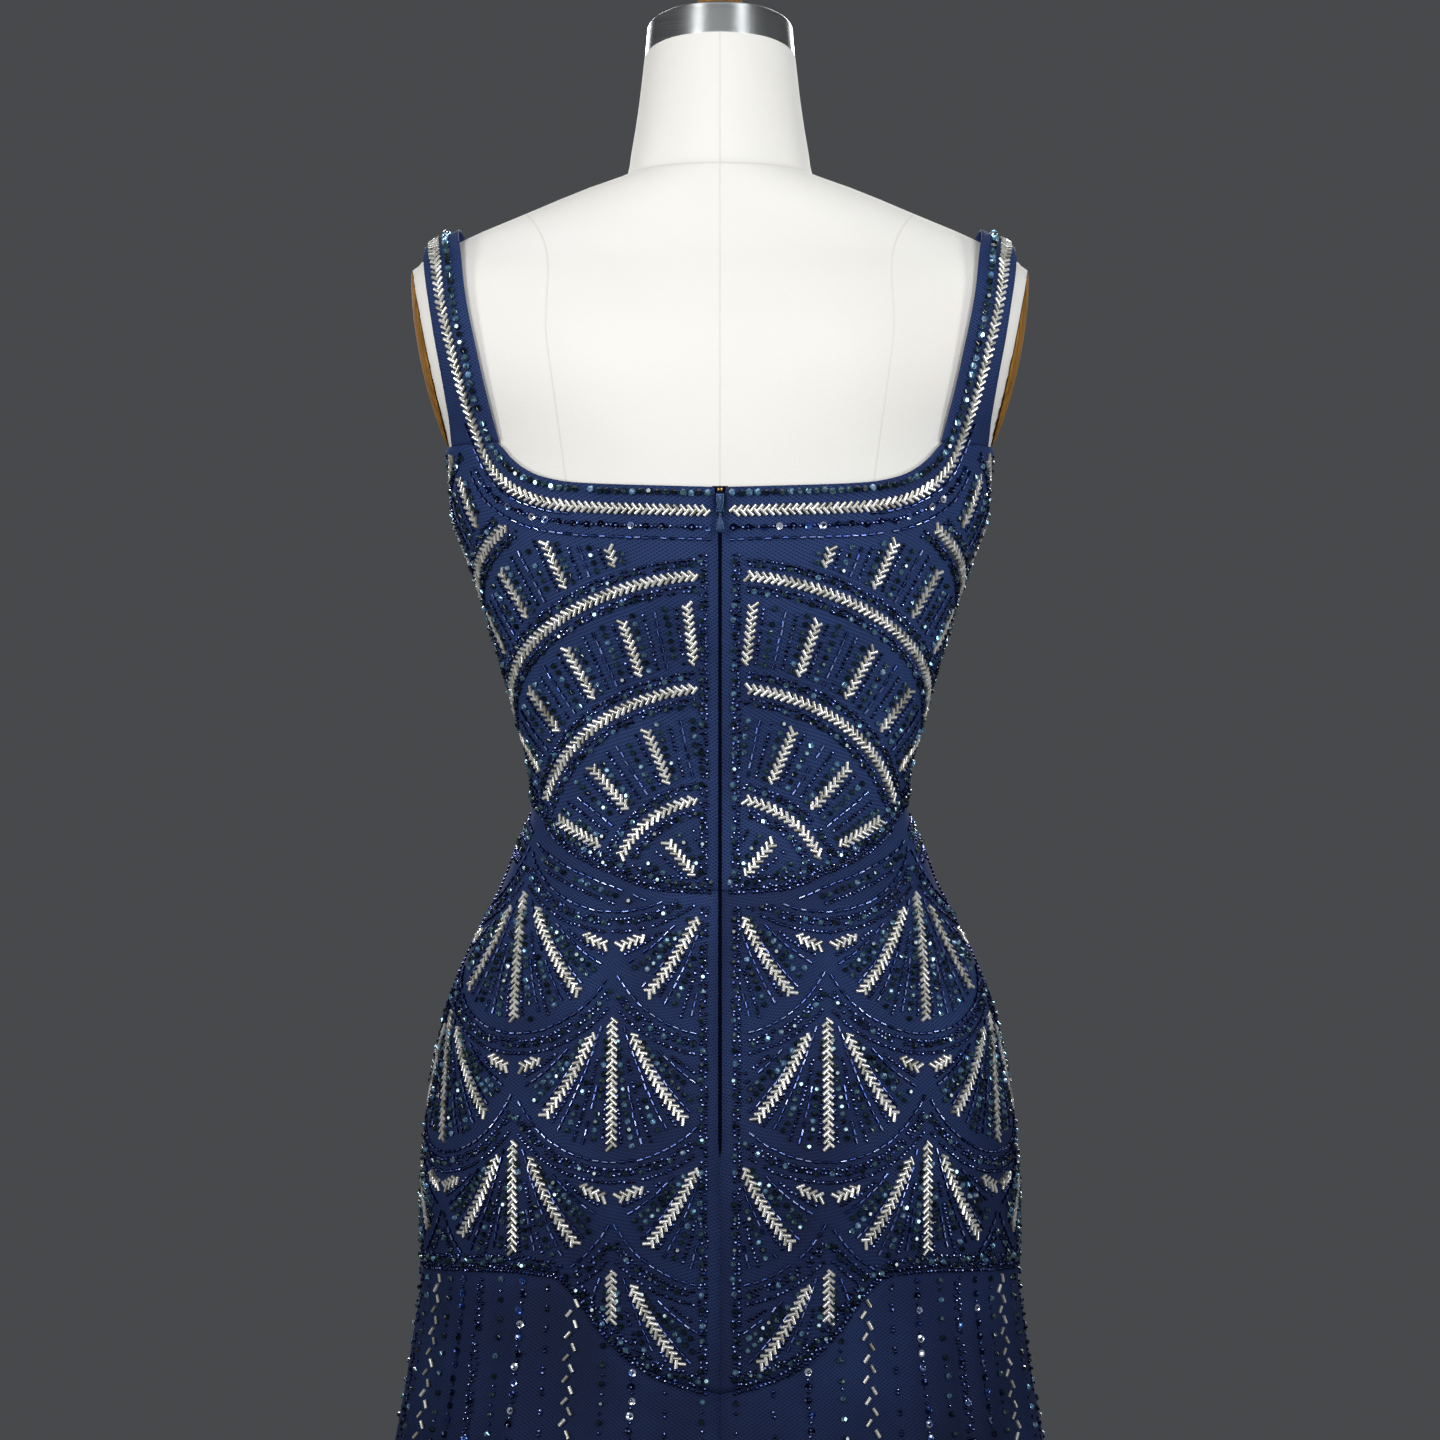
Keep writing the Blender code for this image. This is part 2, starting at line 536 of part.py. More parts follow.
def addArmPlates(wood, collection):
    lean = math.atan2(ARM_TOP[0] - ARM_BOTTOM[0], ARM_TOP[1] - ARM_BOTTOM[1])
    long = math.hypot(ARM_TOP[0] - ARM_BOTTOM[0], ARM_TOP[1] - ARM_BOTTOM[1]) / 2
    share, height = np.array(PLATE_ROWS).T[:, :, None]
    turns = np.linspace(0, 2 * math.pi, 28, endpoint=False)[None, :]
    x = (ARM_TOP[0] + ARM_BOTTOM[0]) / 2 + SEAM * math.cos(lean)
    z = (ARM_TOP[1] + ARM_BOTTOM[1]) / 2 - SEAM * math.sin(lean)
    for side, sign in (("left", 1), ("right", -1)):
        across = share * ARM_PLATE_WIDE * np.cos(sign * turns)
        up = share * long * np.sin(sign * turns)
        points = np.stack((sign * height * np.ones_like(turns), across, up), axis=-1)
        plate = addObject(f"arm_plate_{side}", stackedMesh(f"arm_plate_{side}", points), wood, collection)
        plate.location = (sign * x, ARM_PLATE_BACK, z)
        plate.rotation_euler = (0, sign * lean, 0)


# Solid turned from a profile of (radius, height) points that ends on the axis at both ends.
def addTurned(name, profile, material, collection, steps=32):
    corners = [(radius, 0, z) for radius, z in profile]
    lines = [(i, i + 1) for i in range(len(profile) - 1)]
    mesh = bpy.data.meshes.new(name)
    mesh.from_pydata(corners, lines, [])
    turned = addObject(name, mesh, material, collection)
    screw = turned.modifiers.new("turn", "SCREW")
    screw.steps = steps
    screw.render_steps = steps
    screw.use_merge_vertices = True
    screw.merge_threshold = 0.00005
    screw.use_smooth_shade = True
    return turned


def addNeckFittings(metal, wood, collection):
    z = FORM_HEIGHTS[-1]
    radius = float(figureSize("halfWidth", z)) - CAP_INSET
    tilt = math.radians(float(figureSize("tilt", z)))
    shift = float(figureSize("shift", z))
    top = radius - CAP_TAPER
    profile = [(0, CAP_HEIGHT + CAP_DOME), (CAP_DOME_RADIUS, CAP_HEIGHT + 0.6 * CAP_DOME),
               (top - CAP_EDGE, CAP_HEIGHT), (top, CAP_HEIGHT - CAP_EDGE), (radius, 0), (0, 0)]
    cap = addTurned("neck_cap", profile, metal, collection, 32)
    finial = addTurned("finial", FINIAL_ROWS, wood, collection, 20)
    up = (0, -math.sin(tilt), math.cos(tilt))
    for thing, rise in ((cap, SEAM), (finial, CAP_HEIGHT + CAP_DOME + 2 * SEAM)):
        thing.location = (0, shift + up[1] * rise, z + up[2] * rise)
        thing.rotation_euler = (tilt, 0, 0)


def addStand(metal, collection):
    low, high = BASE_THICK + SEAM, FORM_BOTTOM - SEAM
    pole = [(0, high), (POLE_RADIUS, high), (POLE_RADIUS, low), (0, low)]
    base = [(0, BASE_THICK), (BASE_RADIUS - 0.010, BASE_THICK), (BASE_RADIUS - 0.004, BASE_THICK - 0.001),
            (BASE_RADIUS, BASE_THICK - 0.005), (BASE_RADIUS, 0), (0, 0)]
    addTurned("pole", pole, metal, collection, 24)
    addTurned("base", base, metal, collection, 36)


def main():
    for thing in list(bpy.data.objects):
        bpy.data.objects.remove(thing)
    parts = makeCollection("evening_gown")
    tools = makeCollection("tools")
    navy = makeMaterial("navy_net", 0.010, 0.016, 0.095, 0.75)
    black = makeMaterial("black_coil", 0.012, 0.012, 0.015, 0.55)
    enamel = makeMaterial("navy_enamel", 0.015, 0.020, 0.090, 0.35)
    linen = makeMaterial("ivory_linen", 0.72, 0.68, 0.58, 0.85)
    wood = makeMaterial("brown_wood", 0.30, 0.13, 0.04, 0.45)
    metal = makeMaterial("brushed_metal", 0.55, 0.54, 0.52, 0.35, 1.0)
    buildGown(navy, parts)
    addCoil(black, parts)
    pinY = addSlider(enamel, parts, tools)
    addPull(pinY, enamel, parts, tools)
    addForm(linen, parts, tools)
    addArmPlates(wood, parts)
    addNeckFittings(metal, wood, parts)
    addStand(metal, parts)


main()
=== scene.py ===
import math

import bpy
import numpy as np
from mathutils import Matrix, Vector
from mathutils.bvhtree import BVHTree


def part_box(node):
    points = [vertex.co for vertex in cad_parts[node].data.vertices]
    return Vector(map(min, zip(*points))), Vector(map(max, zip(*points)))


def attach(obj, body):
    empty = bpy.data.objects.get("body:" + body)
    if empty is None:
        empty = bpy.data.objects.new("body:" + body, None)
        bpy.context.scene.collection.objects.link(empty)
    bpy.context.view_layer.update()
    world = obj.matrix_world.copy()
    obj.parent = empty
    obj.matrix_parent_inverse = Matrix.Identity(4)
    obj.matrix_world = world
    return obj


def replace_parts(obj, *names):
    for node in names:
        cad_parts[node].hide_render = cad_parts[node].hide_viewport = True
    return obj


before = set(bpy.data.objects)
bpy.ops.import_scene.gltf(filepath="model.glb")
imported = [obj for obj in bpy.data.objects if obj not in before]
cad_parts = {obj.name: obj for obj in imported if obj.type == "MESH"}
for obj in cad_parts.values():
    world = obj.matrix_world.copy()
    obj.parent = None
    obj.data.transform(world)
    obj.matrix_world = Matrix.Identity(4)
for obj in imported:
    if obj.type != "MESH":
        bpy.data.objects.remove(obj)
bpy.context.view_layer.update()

chance = np.random.default_rng(41)
rootBody = "gown"
print("frame loaded")

# Evening gown seen from behind on a linen dress form. "turn" is the angle round the body: 0 at the
# wearer's left, 90 degrees at the centre back, 180 at the right and 270 at the centre front.

cloth = dict(      # metres: wall, distance from the form, gaps at seams and at the back, heights, grid steps
    wall=0.0012, clear=0.0018, seam=0.0003, touch=0.00004, hem=0.018, hip=0.755,
    grid=0.0045, skirtGrid=0.0075,
)
figure = dict(
    roundness=2.25,
    height=[0, 0.2, 0.35, 0.5, 0.64, 0.7, 0.755, 0.8, 0.836, 0.877, 0.913, 0.946, 0.978, 1.008, 1.042, 1.094,
            1.133, 1.167, 1.201, 1.225, 1.25, 1.266, 1.3, 1.33, 1.36, 1.376, 1.3825, 1.3964, 1.41, 1.4235,
            1.4322, 1.434, 1.452, 1.48, 1.5109],
    halfWidth=[0.34, 0.3, 0.266, 0.231, 0.1985, 0.189, 0.1838, 0.1838, 0.1818, 0.1758, 0.1683, 0.1553, 0.1393,
               0.1263, 0.1147, 0.1243, 0.1353, 0.1448, 0.1573, 0.1648, 0.1663, 0.1705, 0.191, 0.204, 0.207,
               0.197, 0.1855, 0.1585, 0.1245, 0.09, 0.0636, 0.0594, 0.0558, 0.0515, 0.048],
    front=[0.285, 0.243, 0.205, 0.166, 0.133, 0.12, 0.1135, 0.112, 0.1095, 0.1065, 0.104, 0.101, 0.0975, 0.0935,
           0.09, 0.097, 0.106, 0.113, 0.1165, 0.1155, 0.112, 0.109, 0.1, 0.09, 0.0765, 0.069, 0.066, 0.061,
           0.058, 0.056, 0.0544, 0.0536, 0.0516, 0.049, 0.048],
    back=[0.305, 0.262, 0.226, 0.187, 0.151, 0.1385, 0.131, 0.13, 0.127, 0.12, 0.11, 0.099, 0.09, 0.083, 0.0785,
          0.082, 0.0885, 0.0945, 0.099, 0.101, 0.1025, 0.103, 0.101, 0.095, 0.083, 0.075, 0.0715, 0.066,
          0.062, 0.059, 0.0564, 0.0552, 0.052, 0.049, 0.048],
    shift=[0] * 29 + [-0.002, -0.0037, -0.0042, -0.008, -0.014, -0.02],
    tilt=[0] * 27 + [1, 3, 5, 6, 6.3, 8.5, 11.5, 14.5],
)
lobes = [  # side, across, height, spread across, spread up, push
    (-1, 0.066, 1.200, 0.058, 0.064, 0.0170),
    (+1, 0.080, 0.800, 0.060, 0.075, 0.0080),
    (+1, 0.085, 1.320, 0.050, 0.060, 0.0060),
    (+1, 0.000, 1.090, 0.026, 0.110, -0.0025),
]
edges = dict(  # (degrees from the centre back, height)
    waist=[(0, 0.989), (13, 0.991), (27, 1.001), (40, 1.0105), (55, 1.0226), (70, 1.0370), (90, 1.0440),
           (120, 1.0380), (150, 1.0300), (180, 1.0270)],
    hip=[(0, 0.6905), (10.5, 0.7037), (19.5, 0.7277), (25.5, 0.7510), (30, 0.7606), (40, 0.7620), (52, 0.7600),
         (90, 0.755), (180, 0.755)],
    backTop=[(0, 1.2356), (8.4, 1.2364), (18.6, 1.2374), (30, 1.2392), (37.8, 1.2428), (43.6, 1.2486),
             (47.6, 1.2558), (49.1, 1.2598), (50.2, 1.2650), (82.5, 1.2650), (90, 1.2560)],
    frontTop=[(90, 1.2560), (97.5, 1.2560), (105, 1.2590), (112.5, 1.2660), (120, 1.2790), (127.5, 1.3000),
              (142.5, 1.3000), (150, 1.2850), (157.5, 1.2770), (165, 1.2720), (180, 1.2690)],
)
strap = dict(
    along=[0, 0.08, 0.2, 0.38, 0.52, 0.66, 0.84, 1],
    inner=[0.1345, 0.1397, 0.1472, 0.1573, 0.1606, 0.158, 0.142, 0.1232],
    outer=[0.1644, 0.1642, 0.1672, 0.1756, 0.1811, 0.179, 0.168, 0.1552],
    lift=[0, 0.0014, 0.0018, 0.0026, 0.005, 0.0045, 0.0008, 0],
    axis=1.3, rows=90, across=16,
)
flutes = [  # crest angle, half spread in degrees, depth at the hem
    (0, 8.0, 0.026), (19, 6.0, 0.030), (36, 7.0, 0.024), (53, 5.5, 0.031), (72, 7.5, 0.025), (90, 7.0, 0.028),
    (108, 6.0, 0.024), (125, 7.5, 0.032), (144, 6.5, 0.025), (162, 6.0, 0.029), (180, 8.0, 0.026),
    (200, 7.0, 0.031), (217, 5.5, 0.023), (233, 6.5, 0.030), (252, 7.5, 0.026), (271, 6.0, 0.032),
    (288, 7.0, 0.024), (307, 7.5, 0.030), (324, 5.5, 0.026), (342, 7.0, 0.029),
]
fluting = dict(mean=0.0125, growth=0.9)
slot = dict(bottom=0.836, top=1.2215, half=0.00115, topHalf=0.0036, lead=0.010, widening=0.024, closing=0.004)
for table in (figure, strap):
    for key, column in table.items():
        if isinstance(column, list):
            table[key] = np.array(column, float)
edges = {name: np.array(rows, float).T for name, rows in edges.items()}


# Monotone cubic curve through the points (xs, ys), read at x.
def smoothCurve(xs, ys, x):
    step = np.diff(xs)
    slope = np.diff(ys) / step
    before, after = slope[:-1], slope[1:]
    same = before * after > 0
    weightA, weightB = 2 * step[1:] + step[:-1], step[1:] + 2 * step[:-1]
    bottom = weightA / np.where(same, before, 1) + weightB / np.where(same, after, 1)
    inner = np.where(same, (weightA + weightB) / np.where(same, bottom, 1), 0)
    lean = np.concatenate(([slope[0]], inner, [slope[-1]]))
    x = np.clip(x, xs[0], xs[-1])
    i = np.clip(np.searchsorted(xs, x, side="right") - 1, 0, len(step) - 1)
    h = step[i]
    s = (x - xs[i]) / h
    rise = (3 - 2 * s) * s * s
    return (ys[i] * (1 - rise) + ys[i + 1] * rise
            + h * s * (1 - s) * (lean[i] * (1 - s) - lean[i + 1] * s))


def figureSize(name, z):
    return smoothCurve(figure["height"], figure[name], z)


# Cosine and sine of the turn, raised to 2/roundness, times the section's half width and depth; the lobes
# push it front or back, and the neck's sections shift and tilt.
def figurePoint(turn, z):
    turn, z = np.broadcast_arrays(np.asarray(turn, float), np.asarray(z, float))
    c, s = np.cos(turn), np.sin(turn)
    power = 2 / figure["roundness"]
    x = figureSize("halfWidth", z) * np.sign(c) * np.abs(c) ** power
    depth = np.where(s >= 0, figureSize("back", z), figureSize("front", z))
    y = depth * np.sign(s) * np.abs(s) ** power
    for side, across, height, spreadAcross, spreadUp, push in lobes:
        pair = np.exp(-((x - across) / spreadAcross) ** 2) + np.exp(-((x + across) / spreadAcross) ** 2)
        y = y + side * push * pair * np.exp(-((z - height) / spreadUp) ** 2) * np.clip(side * s, 0, 1)
    tilt = np.tan(np.radians(figureSize("tilt", z)))
    return np.stack((x, y + figureSize("shift", z), z + y * tilt), axis=-1)


# Unit normal of a surface of turn and height, from its two tangents.
def outward(surface, turn, z):
    small = 0.002
    around = surface(turn + small, z) - surface(turn - small, z)
    upward = surface(turn, z + small) - surface(turn, z - small)
    normal = np.cross(around, upward)
    return normal / np.linalg.norm(normal, axis=-1, keepdims=True)


# The sum of rounded crests, growing from the hip seam to the hem.
def fluteSwing(turn, z):
    growth = np.clip((cloth["hip"] - z) / (cloth["hip"] - cloth["hem"]), 0, 1) ** fluting["growth"]
    swing = -fluting["mean"] * np.ones_like(growth)
    for crest, spread, depth in flutes:
        away = (np.degrees(turn) - crest + 180) % 360 - 180
        swing = swing + depth * np.exp(-(away / spread) ** 2)
    return swing * growth


# Inner face of the gown: the figure moved out by the clearance and the flutes.
def gownPoint(turn, z):
    turn, z = np.broadcast_arrays(np.asarray(turn, float), np.asarray(z, float))
    away = cloth["clear"] + fluteSwing(turn, z)
    return figurePoint(turn, z) + away[..., None] * outward(figurePoint, turn, z)


# Degrees from the centre back, 0 to 180.
def fromBack(turn):
    return np.abs((np.degrees(turn) - 90 + 180) % 360 - 180)


def edgeHeight(name, turn):
    return smoothCurve(edges[name][0], edges[name][1], fromBack(turn))


# Half the centre-back gap: a slot along the zip, wider at the neckline, and a plain seam below.
def backGap(z):
    opening = np.clip((z - slot["top"] + slot["lead"]) / slot["widening"], 0, 1)
    half = slot["half"] + (slot["topHalf"] - slot["half"]) * opening ** 1.5
    closing = np.clip((z - slot["bottom"] + slot["closing"]) / slot["closing"], 0, 1)
    return cloth["touch"] + (half - cloth["touch"]) * closing


creases = [  # turn, height, length in turn, width, depth, slope
    (14, 1.075, 16, 0.0100, 0.0011, 0.10), (18, 1.098, 13, 0.0090, 0.0008, 0.14),
    (168, 1.070, 15, 0.0100, 0.0011, -0.12), (163, 1.100, 12, 0.0080, 0.0008, -0.10),
    (52, 1.062, 14, 0.0090, 0.0006, 0.05), (126, 1.066, 13, 0.0090, 0.0006, -0.04),
    (200, 1.074, 16, 0.0100, 0.0010, 0.11), (340, 1.078, 16, 0.0100, 0.0010, -0.11),
    (268, 1.080, 18, 0.0100, 0.0006, 0.02), (8, 0.985, 14, 0.0090, 0.0007, -0.10),
    (172, 0.988, 14, 0.0090, 0.0007, 0.10), (30, 0.955, 18, 0.0100, 0.0006, -0.08),
]
pucker = dict(zipDepth=0.00030, zipSpread=7, hipDepth=0.00022, hipSpread=0.012)
falls = dict(depth=0.0011, start=0.05, fade=0.30)


# Pucker along the zip and the hip seam, shallow falls under the hip seam, and soft drag creases by the waist:
# sine waves and troughs that fade as a bell curve with their distance from what makes them.
def clothRelief(turn, z):
    angle, degrees = fromBack(turn), np.degrees(turn)
    relief = pucker["zipDepth"] * np.exp(-(angle / pucker["zipSpread"]) ** 2) \
        * np.sin(z * 370 + 0.8 * np.sin(z * 61)) * (z > slot["bottom"])
    below = edgeHeight("hip", turn) - z
    relief = relief + pucker["hipDepth"] * np.exp(-(below / pucker["hipSpread"]) ** 2) * np.sin(degrees * 1.9)
    waves = np.sin(degrees * 0.62 + 2.1 * np.sin(turn * 3)) + 0.6 * np.sin(degrees * 1.07 + 1.3)
    relief = relief + falls["depth"] * waves * np.clip(below / falls["start"], 0, 1) \
        * np.exp(-np.clip(below, 0, 1) / falls["fade"])
    for at, height, length, width, depth, slope in creases:
        away = (degrees - at + 180) % 360 - 180
        relief = relief - depth * np.exp(-(away / length) ** 2
                                         - ((z - height - slope * np.radians(away) * 0.13) / width) ** 2)
    return relief


def clothPoint(turn, z):
    return gownPoint(turn, z) + clothRelief(turn, z)[..., None] * outward(gownPoint, turn, z)


# Outer face of the cloth, and its normal there.
def clothFace(turn, z):
    normal = outward(gownPoint, turn, z)
    return gownPoint(turn, z) + (clothRelief(turn, z) + cloth["wall"])[..., None] * normal, normal


def meshFromArrays(name, points, faces, smooth=True):
    mesh = bpy.data.meshes.new(name)
    corners = faces.shape[1]
    mesh.vertices.add(len(points))
    mesh.vertices.foreach_set("co", np.asarray(points, np.float32).ravel())
    mesh.loops.add(faces.size)
    mesh.loops.foreach_set("vertex_index", faces.astype(np.int32).ravel())
    mesh.polygons.add(len(faces))
    mesh.polygons.foreach_set("loop_start", np.arange(0, faces.size, corners, dtype=np.int32))
    mesh.polygons.foreach_set("use_smooth", np.full(len(faces), smooth))
    mesh.update(calc_edges=True)
    return mesh


def readPoints(mesh):
    points = np.zeros(len(mesh.vertices) * 3, np.float32)
    mesh.vertices.foreach_get("co", points)
    return points.reshape(-1, 3)


def readCorners(mesh):
    corners = np.zeros(len(mesh.loops), np.int32)
    mesh.loops.foreach_get("vertex_index", corners)
    return corners


def addObject(name, data):
    thing = bpy.data.objects.new(name, data)
    bpy.context.scene.collection.objects.link(thing)
    return thing


def addPiece(name, mesh, *materials, body=rootBody, finish=None):
    for material in materials:
        mesh.materials.append(material)
    piece = addObject(name, mesh)
    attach(piece, body)
    return piece


def thicken(piece, wall, offset):
    modifier = piece.modifiers.new("wall", "SOLIDIFY")
    modifier.thickness, modifier.offset = wall, offset


def gridFaces(rows, columns, wrap=False):
    index = np.arange(rows * columns).reshape(rows, columns)
    after = np.roll(index, -1, axis=1) if wrap else index[:, 1:]
    first = index if wrap else index[:, :-1]
    return np.stack((first[:-1], after[:-1], after[1:], first[1:]), axis=-1).reshape(-1, 4)


# Each quad as two triangles.
def halved(quads):
    return np.concatenate((quads[:, [0, 1, 2]], quads[:, [0, 2, 3]]))


# Solid from rings of points stacked upwards, with a fan of triangles round each end point.
def closedMesh(name, points, lowEnd, highEnd):
    rings, around = points.shape[:2]
    flat = np.concatenate((points.reshape(-1, 3), [lowEnd, highEnd]))
    ring, last = np.arange(around), np.full(around, len(flat) - 1)
    after, top = np.roll(ring, -1), (rings - 1) * around
    low = np.stack((after, ring, last - 1), axis=-1)
    high = np.stack((ring + top, after + top, last), axis=-1)
    sides = halved(gridFaces(rings, around, wrap=True))
    return meshFromArrays(name, flat, np.concatenate((sides, low, high)))


# Lengths along the rows, from their middle, and up the columns of a grid, in metres.
def gridLengths(points):
    across = np.linalg.norm(np.diff(points, axis=1), axis=-1)
    up = np.linalg.norm(np.diff(points, axis=0), axis=-1)
    across = np.concatenate((np.zeros((len(points), 1)), np.cumsum(across, axis=1)), axis=1)
    up = np.concatenate((np.zeros((1, points.shape[1])), np.cumsum(up, axis=0)), axis=0)
    return across - across[:, -1:] / 2, up


def setUv(mesh, uv):
    layer = mesh.uv_layers.new(name="cloth")
    layer.uv.foreach_set("vector", uv.reshape(-1, 2)[readCorners(mesh)].astype(np.float32).ravel())


# Evens out rows of points or directions, each one drawn towards the middle of its two neighbours.
def softened(points, times):
    points = points.copy()
    for smoothing in range(times):
        points[1:-1] = points[1:-1] * 0.5 + (points[:-2] + points[2:]) * 0.25
    return points


def unit(vectors):
    return vectors / np.maximum(np.linalg.norm(vectors, axis=-1, keepdims=True), 1e-12)


def circle(steps):
    turns = np.linspace(0, 2 * math.pi, steps, endpoint=False)
    return np.cos(turns), np.sin(turns)


def linear(code):
    channels = [int(code[i:i + 2], 16) / 255 for i in (1, 3, 5)]
    return tuple(c / 12.92 if c <= 0.04045 else ((c + 0.055) / 1.055) ** 2.4 for c in channels) + (1.0,)


# Fills or links inputs of a node.
def setInputs(tree, node, inputs):
    for key, value in inputs.items():
        if isinstance(value, bpy.types.NodeSocket):
            tree.links.new(value, node.inputs[key])
        else:
            node.inputs[key].default_value = value


def addNode(tree, kind, inputs, **settings):
    node = tree.nodes.new("ShaderNode" + kind)
    for key, value in settings.items():
        setattr(node, key, value)
    setInputs(tree, node, inputs)
    return node


def addMath(tree, operation, *values):
    return addNode(tree, "Math", dict(enumerate(values)), operation=operation).outputs[0]


def addNoise(tree, place, scale, detail, **more):
    return addNode(tree, "TexNoise", {"Vector": place, "Scale": scale, "Detail": detail, **more}).outputs["Fac"]


# Threads side by side, drawn at a width in metres; a wave texture of scale 1 has its bands 0.314 m apart.
def addThreads(tree, place, width, direction, distortion, detail, detailScale):
    inputs = {"Vector": place, "Scale": 0.314 / width, "Distortion": distortion, "Detail": detail,
              "Detail Scale": detailScale}
    return addNode(tree, "TexWave", inputs, wave_type="BANDS", bands_direction=direction,
                   wave_profile="SIN").outputs["Fac"]


def addMapRange(tree, value, start, end, low, high):
    inputs = {"Value": value, "From Min": start, "From Max": end, "To Min": low, "To Max": high}
    return addNode(tree, "MapRange", inputs, interpolation_type="SMOOTHSTEP").outputs["Result"]


def addRamp(tree, value, stops):
    node = addNode(tree, "ValToRGB", {"Fac": value})
    band = node.color_ramp
    band.elements.remove(band.elements[-1])
    band.elements[0].position, band.elements[0].color = stops[0][0], linear(stops[0][1])
    for place, code in stops[1:]:
        band.elements.new(place).color = linear(code)
    return node.outputs["Color"]


def addBump(tree, height, strength, distance):
    return addNode(tree, "Bump", {"Height": height, "Strength": strength, "Distance": distance}).outputs["Normal"]


def newMaterial(name):
    material = bpy.data.materials.new(name)
    material.use_nodes = True
    tree = material.node_tree
    return material, tree, tree.nodes["Principled BSDF"]


def onCloth(tree):
    return addNode(tree, "UVMap", {}, uv_map="cloth").outputs["UV"]


def onObject(tree):
    return addNode(tree, "TexCoord", {}).outputs["Object"]


# Navy nylon net over a plain navy ground, matt with a soft sheen. Its real mesh is about 0.8 mm, drawn
# 1.9 mm wide so that it shows. The colour is painted darker down the skirt and lighter up the bodice: painted shade
# for the light falling off towards the hem.
def netOverGround():
    material, tree, shader = newMaterial("navyNetOverGround")
    place = onCloth(tree)
    threads = []
    for angle in (58, -58):
        turned = addNode(tree, "Mapping", {"Vector": place, "Rotation": (0, 0, math.radians(angle))})
        drawn = addThreads(tree, turned.outputs["Vector"], 0.0019, "X", 0.6, 1.0, 2.0)
        threads.append(addMath(tree, "POWER", drawn, 2.0))
    net = addMath(tree, "MAXIMUM", *threads)
    tone = addMath(tree, "MULTIPLY_ADD", addNoise(tree, place, 9.0, 3.0), 0.75, -0.12)
    height = addNode(tree, "SeparateXYZ", {"Vector": onObject(tree)}).outputs["Z"]
    # painted shade: the colour darkens with falling height, standing in for the light's falloff towards the hem
    paintedFalloff = addMapRange(tree, height, 0.60, 1.20, -0.12, 0.16)
    tone = addMath(tree, "ADD", tone, paintedFalloff)
    color = addRamp(tree, addMath(tree, "MULTIPLY_ADD", net, 0.55, tone),
                    [(0.12, "#0d1630"), (0.45, "#142145"), (0.70, "#1b2d59"), (0.95, "#29406f")])
    setInputs(tree, shader, {"Base Color": color, "Normal": addBump(tree, net, 0.25, 0.0003),
                             "Roughness": 0.78, "Sheen Weight": 0.05, "Sheen Roughness": 0.45,
                             "Sheen Tint": linear("#38549c"), "Specular IOR Level": 0.2})
    return material


# Glass or metal-lined beads: each bead has its own tint, read by a ramp. The palest stops of each ramp are painted
# highlights, reached by the painted glints, the painted facet shine and the brightest crystals and sequins.
def beadFinish(name, stops, metallic, roughness, coat, gloss="#ffffff"):
    material, tree, shader = newMaterial(name)
    tint = addNode(tree, "Attribute", {}, attribute_name="tint").outputs["Fac"]
    setInputs(tree, shader, {"Base Color": addRamp(tree, tint, stops), "Roughness": roughness,
                             "Metallic": metallic, "Coat Weight": coat, "Coat Roughness": 0.05,
                             "Specular Tint": linear(gloss)})
    return material


princessSeam = [(0.70, 0.095), (0.85, 0.092), (1.04, 0.056), (1.15, 0.083), (1.246, 0.0950), (1.323, 0.1055),
                (1.405, 0.1170), (1.44, 0.20)]      # height, distance from the middle
neckSeam = dict(slope=-0.107, height=1.4333)        # the plane that it lies in


# A float curve through two or more points.
def addCurve(tree, value, points):
    node = addNode(tree, "FloatCurve", {"Value": value})
    curve = node.mapping.curves[0]
    node.mapping.use_clip = False
    for place, (x, y) in enumerate(points):
        if place < 2:
            curve.points[place].location = (x, y)
        else:
            curve.points.new(x, y)
    node.mapping.update()
    return node.outputs["Value"]


# Plain-woven ivory linen glued over a padded form: matt, with slubs. Its sewn seams lie at the middle, along
# a curve of height to width and round the neck, and are drawn from the distance to the nearest. Threads are
# 0.5 mm apart, drawn at 1.6 mm.
def wovenLinen():
    material, tree, shader = newMaterial("ivoryLinen")
    place = onCloth(tree)
    weave = addMath(tree, "MULTIPLY", *(addThreads(tree, place, 0.0016, way, 1.5, 2.0, 1.5) for way in ("X", "Y")))
    height = addMath(tree, "MULTIPLY_ADD", addNoise(tree, place, 60.0, 4.0), 0.8, weave)
    axes = addNode(tree, "SeparateXYZ", {"Vector": onObject(tree)}).outputs
    across = addMath(tree, "ABSOLUTE", axes["X"])
    princess = addMath(tree, "SUBTRACT", across, addCurve(tree, axes["Z"], princessSeam))
    neck = addMath(tree, "MULTIPLY_ADD", axes["Y"], neckSeam["slope"], axes["Z"])
    neck = addMath(tree, "SUBTRACT", neck, neckSeam["height"])
    nearest = addMath(tree, "MINIMUM", across, addMath(tree, "ABSOLUTE", princess))
    nearest = addMath(tree, "MINIMUM", nearest, addMath(tree, "ABSOLUTE", neck))
    nearSeam = addMapRange(tree, nearest, 0.0002, 0.0009, 1.0, 0.0)
    tone = addRamp(tree, addNoise(tree, place, 5.0, 2.0),
                   [(0.30, "#e4e2dc"), (0.55, "#e9e8e3"), (0.75, "#ecebe8")])
    mixed = addNode(tree, "Mix", {"Factor": nearSeam, 6: tone, 7: linear("#dfddd5")}, data_type="RGBA")
    bump = addBump(tree, addMath(tree, "MULTIPLY_ADD", nearSeam, -2.0, height), 0.35, 0.0002)
    setInputs(tree, shader, {"Base Color": mixed.outputs[2], "Normal": bump, "Roughness": 0.85,
                             "Sheen Weight": 0.15})
    return material


